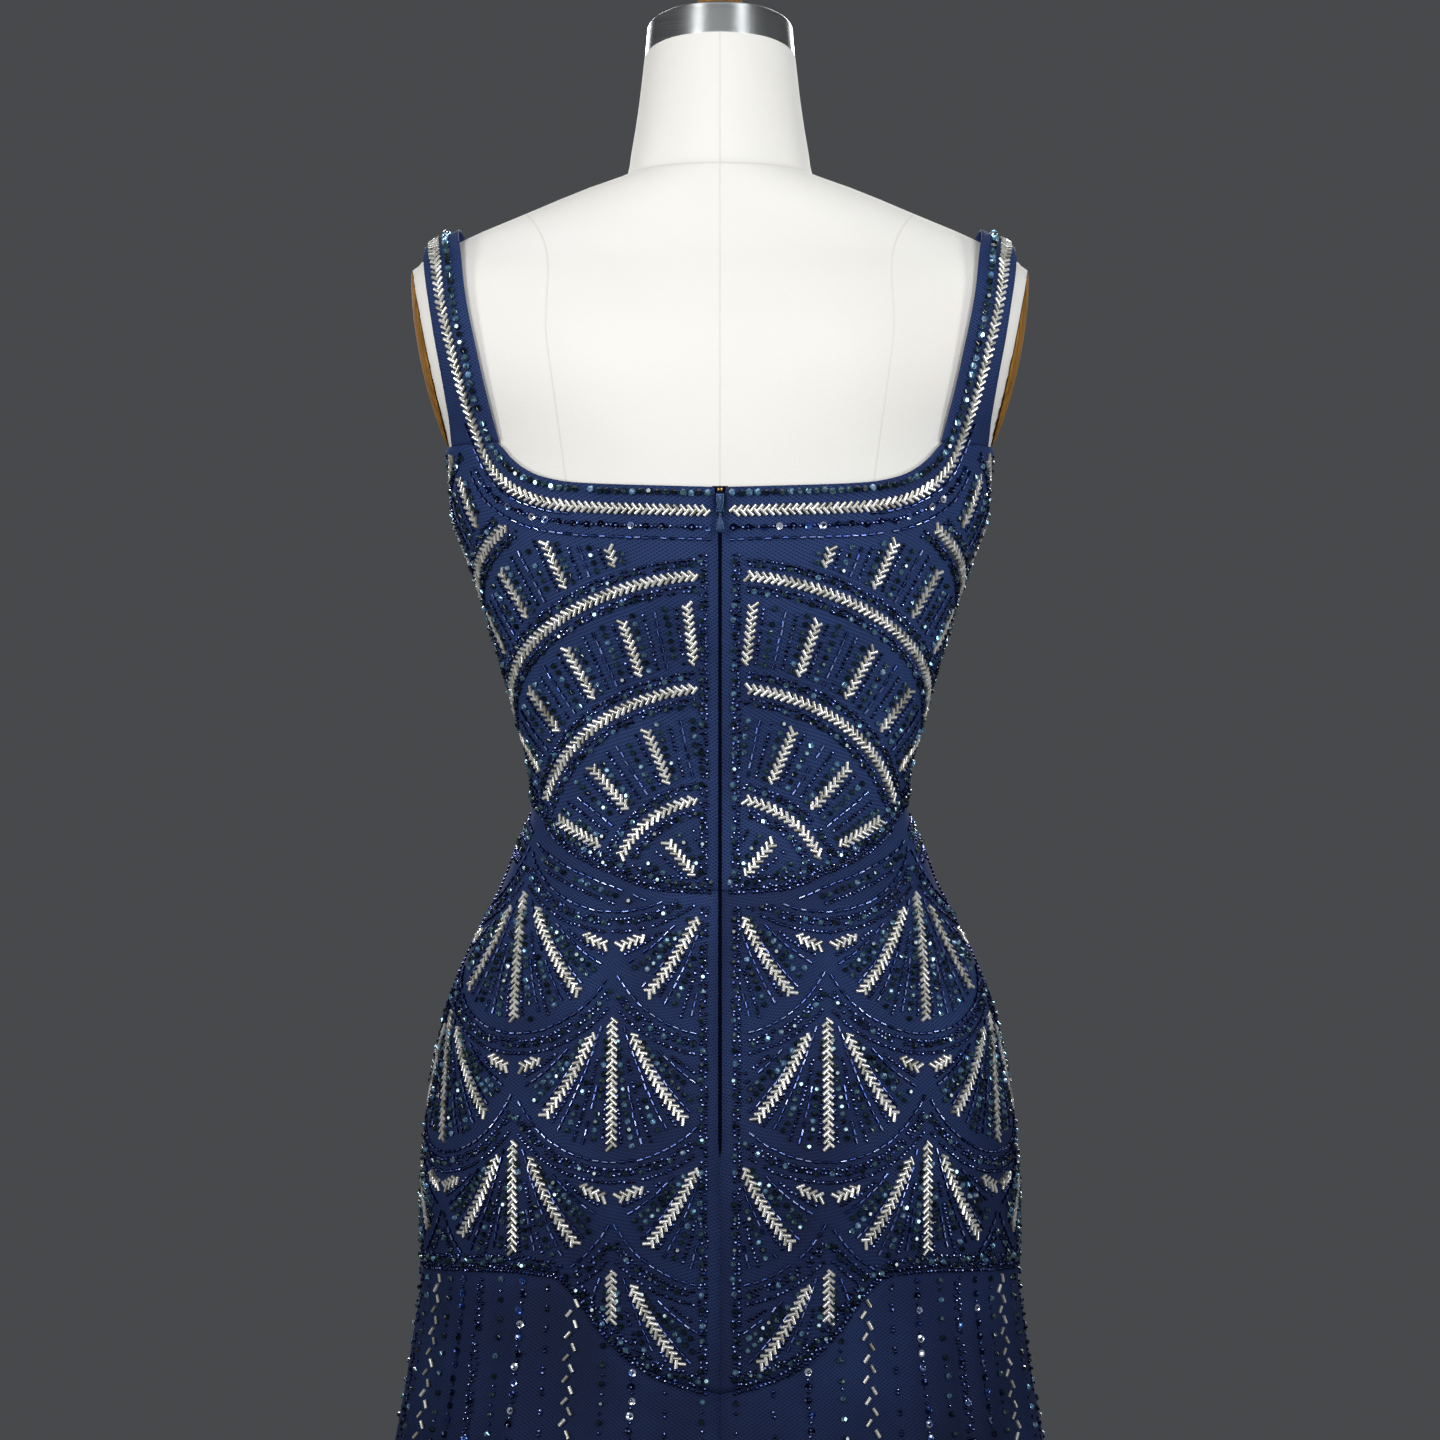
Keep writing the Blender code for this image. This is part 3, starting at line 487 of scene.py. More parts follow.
# Varnished brown hardwood, its grain about 3 mm wide and run along the height.
def varnishedWood():
    material, tree, shader = newMaterial("varnishedWood")
    stretched = addNode(tree, "Mapping", {"Vector": onObject(tree), "Scale": (1, 1, 0.12)}).outputs["Vector"]
    grain = addNoise(tree, stretched, 330.0, 5.0, Roughness=0.6, Distortion=0.4)
    color = addRamp(tree, grain, [(0.30, "#6b4616"), (0.52, "#946828"), (0.72, "#b08238")])
    setInputs(tree, shader, {"Base Color": color, "Normal": addBump(tree, grain, 0.12, 0.0003),
                             "Roughness": 0.7, "Specular IOR Level": 0.1})
    return material


# Steel turned and brushed round its axis: fine rings about 1 mm apart, from noise squeezed in height.
def brushedSteel():
    material, tree, shader = newMaterial("brushedSteel")
    squeezed = addNode(tree, "Mapping", {"Vector": onObject(tree), "Scale": (6, 6, 900)}).outputs["Vector"]
    streak = addNoise(tree, squeezed, 1.0, 4.0)
    setInputs(tree, shader, {"Base Color": linear("#b9bcbd"), "Normal": addBump(tree, streak, 0.25, 0.0002),
                             "Roughness": addMath(tree, "MULTIPLY_ADD", streak, 0.25, 0.2), "Metallic": 1.0})
    return material


# One even colour with fine specks in its surface: coated steel, enamel, nylon, brass or the studio's floor.
def plainFinish(name, code, roughness, metallic=0.0, grain=900.0, specular=0.5, depth=(0.1, 0.0001)):
    material, tree, shader = newMaterial(name)
    bump = addBump(tree, addNoise(tree, onObject(tree), grain, 2.0), *depth)
    setInputs(tree, shader, {"Base Color": linear(code), "Normal": bump, "Roughness": roughness,
                             "Metallic": metallic, "Specular IOR Level": specular})
    return material


navyNet = netOverGround()
linen = wovenLinen()
wood = varnishedWood()
steel = brushedSteel()
coated = plainFinish("powderCoatedSteel", "#26272b", 0.42, grain=1200.0, depth=(0.15, 0.0002))
zipPaint = plainFinish("navyZipEnamel", "#1b3a5e", 0.25, 0.4)
zipNylon = plainFinish("blackZipNylon", "#060a1c", 0.8, specular=0.05)
zipBrass = plainFinish("giltZipStop", "#b89a5a", 0.3, 1.0)
beadLooks = dict(
    # the pale blue and near-white top stops of these ramps are painted glints and flashes, not bead colours
    silver=beadFinish("silverLinedBugle", [(0.0, "#5b5b55"), (0.30, "#a8a79d"), (0.60, "#e6e5df"),
                                           (1.0, "#fffffd")], 0.5, 0.24, 0.6),
    crystal=beadFinish("facetedCrystal", [(0.0, "#0e191d"), (0.35, "#22383f"), (0.60, "#47646c"),
                                          (0.80, "#769fae"), (0.91, "#62b0ee"), (1.0, "#d8f0ff")], 0.6, 0.10, 0.6),
    seed=beadFinish("inkBlueSeedBead", [(0.0, "#02040a"), (0.45, "#070d24"), (0.68, "#2c4488"),
                                        (0.80, "#8ea8f0"), (0.93, "#f2f6ff")], 0.6, 0.16, 0.15, "#6f8cff"),
    dash=beadFinish("inkBlueBugle", [(0.0, "#040818"), (0.40, "#0c1638"), (0.65, "#4560b4"), (0.85, "#a3b8f6"),
                                     (1.0, "#f2f6ff")], 0.6, 0.18, 0.25, "#7f9aff"),
    sequin=beadFinish("cuppedSequin", [(0.0, "#03050c"), (0.45, "#0a1230"), (0.66, "#2448a0"), (0.80, "#5f86e0"),
                                       (0.88, "#d8e6ff"), (1.0, "#ffffff")], 0.7, 0.16, 0.2, "#7f9aff"),
)
print("materials made")

cuts = {}      # each cloth piece with its flat size and area; the beads sewn to it are built at the end


# One cut piece on a fine grid between two turns and two edges, with the seam gap kept all round.
def clothPanel(node, start, end, lowEdge, highEdge, step):
    turns = np.radians(np.linspace(start, end, 25))
    wide = np.linalg.norm(np.diff(figurePoint(turns, 0.9 if lowEdge else 0.3), axis=0), axis=-1).sum()
    turns = np.radians(np.linspace(start, end, int(wide / step) + 1))
    gap = cloth["seam"] / 2
    low = edgeHeight(lowEdge, turns) + gap if lowEdge else np.full(turns.shape, cloth["hem"])
    high = edgeHeight(highEdge, turns) - (gap if highEdge in ("waist", "hip") else 0)
    rows = int((high - low).max() / (step * (1.0 if lowEdge else 1.6)))
    z = low + (high - low) * np.linspace(0, 1, rows + 1)[:, None]
    turn = np.broadcast_to(turns, z.shape).copy()
    power = figure["roundness"] / 2
    for column, angle, inward in ((0, start, 1), (-1, end, -1)):
        height = z[:, column]
        if angle == 90:
            moved = np.arccos((backGap(height) / figureSize("halfWidth", height)) ** power)
            turn[:, column] = moved if inward < 0 else math.pi - moved
        else:
            depth = figureSize("back" if end <= 180 else "front", height)
            turn[:, column] += inward * np.arcsin((gap / depth) ** power)
    points = clothPoint(turn, z)
    across, up = gridLengths(points)
    finishCloth(node, points, across + 0.5 * (start + end) * 0.01, up)


# Makes the sheet, thickens it, lets it stand for its CAD node, and keeps the size it was cut to.
def finishCloth(node, points, across, up):
    mesh = meshFromArrays(node, points.reshape(-1, 3), gridFaces(*points.shape[:2]))
    setUv(mesh, np.stack((across, up), axis=-1))
    piece = addPiece(node + "Cloth", mesh, navyNet, finish="navy_net")
    thicken(piece, cloth["wall"], 1)
    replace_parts(piece, node)
    a, b, c, d = points[:-1, :-1], points[:-1, 1:], points[1:, 1:], points[1:, :-1]
    halves = [np.linalg.norm(np.cross(side - a, other - a), axis=-1).sum() / 2 for side, other in ((b, c), (c, d))]
    wide = np.linalg.norm(np.diff(points, axis=1), axis=-1).sum(axis=1).max()
    long = np.linalg.norm(np.diff(points, axis=0), axis=-1).sum(axis=0).max()
    area = min(sum(halves), wide * long)
    cuts[node] = dict(piece=piece, flat=(round(wide, 4), round(long, 4)), area=round(area, 5))
    print(f"{node}: cut {wide * 1000:.0f} x {long * 1000:.0f} mm, {area * 1e4:.0f} cm2")


def buildCloth():
    for tail, start, end, top in (("back_left", 0, 90, "backTop"), ("back_right", 90, 180, "backTop"),
                                  ("front", 180, 360, "frontTop")):
        clothPanel(f"bodice_{tail}", start, end, "waist", top, cloth["grid"])
        clothPanel(f"yoke_{tail}", start, end, "hip", "waist", cloth["grid"])
        clothPanel(f"skirt_{tail}", start, end, None, "hip", cloth["skirtGrid"])


# Height at which a ray from the strap's axis line, in a plane across X, leaves the figure; found by halving.
def rayHeight(x, angle):
    near, far = np.zeros_like(x), np.full_like(x, 0.3)
    roundness = figure["roundness"]
    for halving in range(40):
        middle = (near + far) / 2
        y, z = middle * np.cos(angle), strap["axis"] + middle * np.sin(angle)
        depth = np.where(y >= 0, figureSize("back", z), figureSize("front", z))
        inside = (x / figureSize("halfWidth", z)) ** roundness + (np.abs(y) / depth) ** roundness < 1
        near, far = np.where(inside, middle, near), np.where(inside, far, middle)
    return strap["axis"] + near * np.sin(angle)


# A strap's inner face: the figure between the strap's two edges, met by rays from the axis line, moved
# out by the clearance and by the lift over the shoulder. along and across run from 0 to 1.
def strapPoint(along, across, away=0.0):
    along, across = np.broadcast_arrays(np.asarray(along, float), np.asarray(across, float))
    size = {key: smoothCurve(strap["along"], strap[key], along) for key in ("inner", "outer", "lift")}
    x = size["inner"] + (size["outer"] - size["inner"]) * across
    joins = []
    roundness = figure["roundness"]
    for edge, side, depth, end in (("backTop", 1, "back", 0), ("frontTop", -1, "front", -1)):
        z = edges[edge][1].max() + cloth["seam"] * 0.1
        row = strap["inner"][end] + (strap["outer"][end] - strap["inner"][end]) * across
        y = figureSize(depth, z) * (1 - (row / figureSize("halfWidth", z)) ** roundness) ** (1 / roundness)
        joins.append(np.arctan2(z - strap["axis"], side * y))
    angle = joins[0] + (joins[1] - joins[0]) * along
    z = rayHeight(x, angle)
    turn = np.arccos(np.clip(x / figureSize("halfWidth", z), 0, 1) ** (roundness / 2))
    turn = np.where(angle > math.pi / 2, -turn, turn)
    lift = (cloth["clear"] + size["lift"] + away)[..., None]
    return figurePoint(turn, z) + lift * outward(figurePoint, turn, z)


def buildStrap(side, sign):
    along = np.linspace(0, 1, strap["rows"] + 1)[:, None]
    across = np.linspace(0, 1, strap["across"] + 1)[None, :]
    points = softened(strapPoint(along, across), 6)
    points[..., 0] *= sign
    points = points[:, ::-1] if sign > 0 else points      # so that both straps face outwards
    finishCloth(f"strap_{side}", points, *gridLengths(points))


buildCloth()
buildStrap("left", 1)
buildStrap("right", -1)
print("cloth made")

form = dict(
    bottom=0.700, top=1.5109, taper=0.04, tuck=0.05, edge=0.012, columns=160, rows=130,
    turnIn=[0.7, 0.7003, 0.7010, 0.7022, 0.7040, 0.7065, 0.7095, 0.7130],      # extra heights at sharp bends
    neckFold=[1.4322, 1.4331, 1.434],
    armTop=(0.1925, 1.376), armBottom=(0.1700, 1.266), armReach=0.012, plateWide=0.045,
)
capRise = 0.0255


# Stacked sections of the figure, drawn in towards the bottom edge, closed at both ends, cut flat at the arms.
def buildForm():
    heights = np.concatenate((form["turnIn"], np.linspace(0.717, form["top"] - 0.0006, form["rows"]),
                              form["neckFold"], [form["top"]]))
    heights = np.sort(heights)[:, None]
    turns = np.linspace(0, 2 * math.pi, form["columns"], endpoint=False)[None, :]
    points = figurePoint(turns, heights)
    low = np.clip((cloth["hip"] + 0.02 - heights) / (cloth["hip"] + 0.02 - form["bottom"]), 0, 1)
    corner = np.clip((form["bottom"] + form["edge"] - heights) / form["edge"], 0, 1)
    narrowing = form["taper"] * low ** 2
    points[..., :2] *= (1 - narrowing - form["tuck"] * (1 - np.sqrt(1 - corner ** 2)))[..., None]
    (topX, topZ), (lowX, lowZ) = form["armTop"], form["armBottom"]
    limit = topX + (points[..., 2] - topZ) * ((topX - lowX) / (topZ - lowZ))
    arm = (points[..., 2] > lowZ - form["armReach"]) & (points[..., 2] < topZ + form["armReach"])
    points[..., 0] = np.where(arm, np.clip(points[..., 0], -limit, limit), points[..., 0])
    mesh = closedMesh("form", points, points[0].mean(axis=0), points[-1].mean(axis=0))
    lengths = np.stack(gridLengths(np.concatenate((points, points[:, :1]), axis=1)), axis=-1)[:, :-1]
    setUv(mesh, np.concatenate((lengths.reshape(-1, 2), np.zeros((2, 2)))))
    mesh.set_sharp_from_angle(angle=math.radians(50))
    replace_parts(addPiece("formLinen", mesh, linen, finish="ivory_linen"), "form_torso")


# Solid turned about the Z axis from a profile of (radius, height); cutting its corners softens the profile.
def turnedMesh(name, profile, around, rounds):
    profile = np.array(profile, float)
    for cutting in range(rounds):
        a, b = profile[:-1], profile[1:]
        cut = np.empty((2 * len(a), 2))
        cut[0::2], cut[1::2] = a * 0.75 + b * 0.25, a * 0.25 + b * 0.75
        profile = np.concatenate((profile[:1], cut[1:-1], profile[-1:]))
    body = profile[1:-1][::-1]
    c, s = circle(around)
    height = np.broadcast_to(body[:, 1:], (len(body), around))
    points = np.stack((body[:, :1] * c, body[:, :1] * s, height), axis=-1)
    mesh = closedMesh(name, points, (0, 0, profile[-1, 1]), (0, 0, profile[0, 1]))
    mesh.set_sharp_from_angle(angle=math.radians(35))
    return mesh


def buildFittings():
    z, seam = form["top"], cloth["seam"]
    tilt, shift = math.radians(float(figureSize("tilt", z))), float(figureSize("shift", z))
    radius = float(figureSize("halfWidth", z)) - seam
    onNeck = Matrix.Translation((0, shift, z)) @ Matrix.Rotation(tilt, 4, "X")
    cap = turnedMesh("cap", [(0, capRise), (0.016, 0.0253), (0.030, 0.0243), (radius - 0.0034, 0.0227),
                             (radius - 0.0017, 0.0222), (radius - 0.0016, 0.0205), (radius - 0.0012, 0.016),
                             (radius - 0.0004, 0.006), (radius, 0.0012), (radius, 0.0004), (radius - 0.0005, 0),
                             (0.02, 0), (0, 0)], 128, 2)
    cap.transform(onNeck @ Matrix.Translation((0, 0, seam)))
    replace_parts(addPiece("neckCap", cap, steel, finish="brushed_metal"), "neck_cap")
    knob = turnedMesh("knob", [(0, 0.064), (0.0130, 0.0605), (0.0205, 0.0510), (0.0205, 0.0400), (0.0140, 0.0290),
                               (0.0098, 0.0235), (0.0105, 0.0180), (0.0158, 0.0135), (0.0158, 0.0095),
                               (0.0132, 0.0065), (0.0130, 0), (0.005, 0), (0, 0)], 48, 2)
    knob.transform(onNeck @ Matrix.Translation((0, 0, capRise + 2 * seam)))
    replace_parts(addPiece("finialKnob", knob, wood, finish="brown_wood"), "finial")
    pole = turnedMesh("pole", [(0, 0.6997), (0.013, 0.6997), (0.014, 0.6987), (0.014, 0.6), (0.014, 0.1),
                               (0.014, 0.0153), (0.013, 0.0143), (0, 0.0143)], 64, 1)
    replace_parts(addPiece("standPole", pole, steel, finish="stand_metal"), "pole")
    base = turnedMesh("base", [(0, 0.014), (0.1, 0.014), (0.200, 0.014), (0.206, 0.013), (0.210, 0.009),
                               (0.210, 0.003), (0.2095, 0.0), (0.1, 0), (0, 0)], 128, 1)
    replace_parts(addPiece("standBase", base, coated, finish="stand_metal"), "base")


# Oval plates with a domed face: a turned disc of radius 1 scaled to the oval, laid on each flat arm end.
def buildArmPlates():
    (topX, topZ), (lowX, lowZ) = form["armTop"], form["armBottom"]
    lean = math.atan2(topX - lowX, topZ - lowZ)
    long = math.hypot(topX - lowX, topZ - lowZ) / 2
    x = (topX + lowX) / 2 + cloth["seam"] * math.cos(lean)
    z = (topZ + lowZ) / 2 - cloth["seam"] * math.sin(lean)
    for side, sign in (("left", 1), ("right", -1)):
        name = f"armPlate{side.title()}"
        mesh = turnedMesh(name, [(0, 0.0069), (0.14, 0.0068), (0.42, 0.0060), (0.68, 0.0045), (0.86, 0.0028),
                                 (0.96, 0.0016), (1, 0.0006), (0.99, 0), (0.5, 0), (0, 0)], 96, 2)
        mesh.transform(Matrix.Diagonal((long, form["plateWide"], 1, 1)))
        mesh.transform(Matrix.Rotation(sign * math.pi / 2, 4, "Y"))
        mesh.transform(Matrix.Translation((sign * x, 0.003, z)) @ Matrix.Rotation(sign * lean, 4, "Y"))
        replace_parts(addPiece(name, mesh, wood, finish="brown_wood"), f"arm_plate_{side}")


buildForm()
buildFittings()
buildArmPlates()
print("form made")


# Solid of a few flat sides from rings of (radius, height, twist in half sides), closed by a point or a flat
# cap. The point on top carries a painted glint: its tint is raised towards the ramp's pale highlight colours.
def ringShape(sides, rings, lowPoint=None, highPoint=None, smooth=False):
    turns = np.linspace(0, 2 * math.pi, sides, endpoint=False)
    points = []
    for r, h, twist in rings:
        at = turns + twist * math.pi / sides
        points.append(np.stack((r * np.cos(at), r * np.sin(at), np.full(sides, h)), axis=-1))
    points = np.concatenate(points)
    faces = [halved(gridFaces(len(rings), sides, wrap=True))]
    ring = np.arange(sides)
    for at, height, flip in ((0, lowPoint, True), ((len(rings) - 1) * sides, highPoint, False)):
        if height is None:
            cap = np.stack((np.zeros(sides - 2, int), ring[1:-1], ring[2:]), axis=-1) + at
        else:
            points = np.concatenate((points, [(0, 0, height)]))
            cap = np.stack((ring + at, np.roll(ring, -1) + at, np.full(sides, len(points) - 1)), axis=-1)
        faces.append(cap[:, ::-1] if flip else cap)
    paintedGlint = np.zeros(len(points)) if highPoint is None else (points[:, 2] >= highPoint).astype(float)
    return dict(points=points, faces=np.concatenate(faces), smooth=smooth, paintedGlint=paintedGlint)


alongX = np.array([[0, 1, 0], [0, 0, 1], [1, 0, 0]], float)      # a turned shape laid along the thread
bugleShape = ringShape(6, [(1, -1, 1), (1, 1, 1)], smooth=True)
bugleShape["points"] = bugleShape["points"] @ alongX
# the vertices along the bugle's top edge carry a painted highlight line
bugleShape["paintedGlint"] = (bugleShape["points"][:, 2] > 0.9).astype(float)


# Small copies of one shape: each point goes along its copy's own three directions.
def copies(shape, place, ahead, side, up, size):
    local = shape["points"][None] * size
    world = (place[:, None] + local[..., :1] * ahead[:, None] + local[..., 1:2] * side[:, None]
             + local[..., 2:] * up[:, None])
    faces = shape["faces"][None] + (np.arange(len(place)) * len(shape["points"]))[:, None, None]
    return world.reshape(-1, 3), faces.reshape(-1, 3)


# Rounded solid along Z: sections are superellipses whose half width and half depth come from a table of
# (height, half width, half depth), closed at both ends.
def pillarMesh(name, rows, power, around, along):
    heights, wide, deep = np.array(rows, float).T
    z = np.linspace(heights[0], heights[-1], along)
    ringX, ringY = (np.sign(v) * np.abs(v) ** (2 / power) for v in circle(around))
    wide, deep = (smoothCurve(heights, column, z)[:, None] for column in (wide, deep))
    points = np.stack((wide * ringX, deep * ringY, np.broadcast_to(z[:, None], (along, around))), axis=-1)
    return closedMesh(name, points, (0, 0, z[0]), (0, 0, z[-1]))


def joined(name, meshes):
    points, faces, start = [], [], 0
    for mesh in meshes:
        points.append(readPoints(mesh))
        faces.append(readCorners(mesh).reshape(-1, 3) + start)
        start += len(mesh.vertices)
    whole = meshFromArrays(name, np.concatenate(points), np.concatenate(faces))
    whole.set_sharp_from_angle(angle=math.radians(40))
    return whole


zipper = dict(
    pitch=0.0012, tooth=(0.00085, 0.00055, 0.00042), stagger=0.00022, tapeHalf=0.0048, tapeThick=0.0003,
    tapeBack=0.00035, tapeTop=1.2362, tapeBelow=0.008, tapeGrid=(120, 9), stopHeight=1.2338, stopAside=0.0009,
    bodyThick=0.0020, bridgeRise=0.0034, earAside=0.00195, pinDrop=0.0013,
)
sliderBody = [      # shares of the slider's height, half width and thickness
    (0, 0.55, 0.30), (0.03, 0.70, 0.44), (0.10, 0.78, 0.50), (0.45, 0.80, 0.50), (0.70, 0.96, 0.50),
    (0.92, 1.0, 0.48), (0.98, 0.93, 0.42), (1, 0.80, 0.28),
]


def buildTeeth(top):
    heights = np.arange(slot["bottom"], top, zipper["pitch"])
    count = len(heights)
    place = gownPoint(np.full(count, math.pi / 2), heights) + [0, cloth["wall"] / 2, 0]
    place[:, 0] = np.where(np.arange(count) % 2, zipper["stagger"], -zipper["stagger"])
    ahead, up = np.tile([1.0, 0, 0], (count, 1)), np.tile([0.0, 0, 1], (count, 1))
    points, faces = copies(bugleShape, place, ahead, np.cross(up, ahead), up, np.array(zipper["tooth"]))
    teeth = meshFromArrays("zipTeeth", points, faces, smooth=False)
    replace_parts(addPiece("zipTeeth", teeth, zipNylon, finish="black_coil"), "zip_coil")


def buildTape():
    rows, columns = zipper["tapeGrid"]
    heights = np.linspace(slot["bottom"] - zipper["tapeBelow"], zipper["tapeTop"], rows)[:, None]
    across = np.linspace(-1, 1, columns)[None, :] * zipper["tapeHalf"]
    tape = np.broadcast_to(gownPoint(np.full(heights.shape, math.pi / 2), heights), (rows, columns, 3)).copy()
    tape[..., 0] = across
    tape[..., 1] -= zipper["tapeBack"] + np.abs(across) * 0.05
    mesh = meshFromArrays("zipTape", tape.reshape(-1, 3), gridFaces(rows, columns)[:, ::-1])
    band = addPiece("zipTape", mesh, zipNylon, finish="black_coil")
    thicken(band, zipper["tapeThick"], -1)
    return band


def buildSlider(pinY, pinZ):
    low, high = (np.array(corner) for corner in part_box("zip_slider"))
    wide, tall, thick = (high[0] - low[0]) / 2, high[2] - low[2], zipper["bodyThick"]
    rows = [(tall * up, wide * out, thick * deep) for up, out, deep in sliderBody]
    body = pillarMesh("sliderBody", rows, 4.0, 32, 28)
    body.transform(Matrix.Translation((0, low[1] + thick / 2, low[2])))
    bridge = pillarMesh("sliderBridge", [(0, 0.00052, 0.00020), (0.0006, 0.00062, 0.00055),
                                         (0.0040, 0.00066, 0.00062), (0.0072, 0.00060, 0.00045),
                                         (0.0080, 0.0004, 0.00015)], 2.6, 16, 16)
    bridge.transform(Matrix.Translation((0, low[1] + thick + 0.0002, low[2] + zipper["bridgeRise"])))
    parts = [body, bridge]
    for sign in (-1, 1):
        ear = pillarMesh("sliderEar", [(-0.0013, 0.00042, 0.0005), (-0.0009, 0.00050, 0.0011), (0, 0.00052, 0.0013),
                                       (0.0009, 0.00050, 0.0011), (0.0013, 0.00042, 0.0005)], 3.0, 16, 14)
        ear.transform(Matrix.Translation((sign * zipper["earAside"], pinY - 0.0004, pinZ)))
        parts.append(ear)
    pin = pillarMesh("sliderPin", [(-0.0022, 0.0004, 0.0004), (-0.0021, 0.0005, 0.0005), (0, 0.0005, 0.0005),
                                   (0.0021, 0.0005, 0.0005), (0.0022, 0.0004, 0.0004)], 2.0, 16, 10)
    pin.transform(Matrix.Translation((0, pinY, pinZ)) @ Matrix.Rotation(math.pi / 2, 4, "Y"))
    slider = joined("zipSlider", parts + [pin])
    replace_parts(addPiece("zipSlider", slider, zipPaint, finish="navy_enamel"), "zip_slider")


# The pull: a flat tab that widens to its lower end, and a ring section turned about the pin along X.
def buildPull(pinY, pinZ):
    tab = pillarMesh("pullTab", [(-0.0130, 0.0004, 0.00022), (-0.0128, 0.0011, 0.00040),
                                 (-0.0120, 0.00195, 0.00050), (-0.0104, 0.00250, 0.00055),
                                 (-0.0085, 0.00228, 0.00055),
                                 (-0.0055, 0.00150, 0.00052), (-0.0030, 0.00098, 0.00050),
                                 (-0.0012, 0.00090, 0.00050), (-0.0009, 0.0007, 0.0003)], 3.4, 32, 40)
    section = np.array([(-0.00105, 0.00085), (0.00105, 0.00085), (0.0011, 0.00092), (0.0011, 0.00120),
                        (0.0010, 0.0013), (-0.0010, 0.0013), (-0.0011, 0.00120), (-0.0011, 0.00092)])
    c, s = circle(28)
    around, corners = len(c), len(section)
    ring = np.stack((np.broadcast_to(section[:, 0], (around, corners)), c[:, None] * section[:, 1],
                     s[:, None] * section[:, 1]), axis=-1)
    index = np.arange(around * corners).reshape(around, corners)
    after = np.roll(index, -1, axis=0)
    quads = np.stack((index, np.roll(index, -1, axis=1), np.roll(after, -1, axis=1), after), axis=-1)
    knuckle = meshFromArrays("pullKnuckle", ring.reshape(-1, 3), halved(quads.reshape(-1, 4)[:, ::-1]))
    whole = joined("zipPull", [tab, knuckle])
    whole.transform(Matrix.Translation((0, pinY, pinZ)))
    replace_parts(addPiece("zipPull", whole, zipPaint, body="pull_tab", finish="navy_enamel"), "zip_pull")


def buildStops():
    y = float(gownPoint(math.pi / 2, zipper["stopHeight"])[1])
    for sign, hand in ((-1, "Right"), (1, "Left")):
        stop = pillarMesh("zipStop", [(-0.0011, 0.0004, 0.0003), (-0.0009, 0.00058, 0.00052), (0, 0.0006, 0.0006),
                                      (0.0009, 0.00058, 0.00052), (0.0011, 0.0004, 0.0003)], 3.0, 16, 12)
        stop.transform(Matrix.Translation((sign * zipper["stopAside"], y + 0.0003, zipper["stopHeight"])))
        addPiece(f"zipStop{hand}", stop, zipBrass, finish="black_coil")


pullLow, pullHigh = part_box("zip_pull")
pinY, pinZ = (pullLow[1] + pullHigh[1]) / 2, pullHigh[2] - zipper["pinDrop"]
buildTeeth(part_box("zip_coil")[1][2])
zipTape = buildTape()
buildSlider(pinY, pinZ)
buildPull(pinY, pinZ)
buildStops()
print("zip made")

gemShape = ringShape(6, [(1, -0.2, 0), (0.58, 0.75, 1)])
seedShape = ringShape(6, [(1, -0.05, 0)], -0.8, 0.9, smooth=True)
smallShape = ringShape(5, [(1, -0.05, 0)], -0.8, 0.9, smooth=True)
sequinShape = ringShape(8, [(1, 0.45, 0)], -0.7, -0.2)
# Half length, half width and half height in metres; wobble in degrees; tint of the body and of the painted
# glint at the top point or top edge, each with its spread, and a spread from corner to corner, a painted facet
# shine.
beadKinds = {}
for kind, shape, size, wobble, look, tint in (
        ("silver", bugleShape, (0.00255, 0.00122, 0.00115), 6, "silver", (0.06, 0.50, 0.30, 0.5, 0)),
        ("dash", bugleShape, (0.00175, 0.00095, 0.00092), 6, "dash", (0.0, 0.35, 0.42, 0.6, 0)),
        # crystals and gems: their brightest tints and the spread from corner to corner are painted sparkle on their
        # facets
        ("crystal", gemShape, (0.00230, 0.00230, 0.00205), 20, "crystal", (0.0, 0.95, 0, 0, 0.3)),
        ("gem", gemShape, (0.00195, 0.00195, 0.00180), 22, "crystal", (0.0, 0.9, 0, 0, 0.3)),
        ("seed", seedShape, (0.00132, 0.00132, 0.00118), 14, "seed", (0.0, 0.4, 0.30, 1.1, 0)),
        ("small", smallShape, (0.00122, 0.00122, 0.00110), 12, "seed", (0.0, 0.4, 0.40, 1.1, 0)),
        # sequins: their brightest, near-white tints are painted flashes
        ("sequin", sequinShape, (0.00230, 0.00230, 0.0010), 14, "sequin", (0.0, 1.0, 0, 0, 0.1))):
    beadKinds[kind] = dict(shape=shape, size=size, wobble=wobble, look=look, tint=tint)
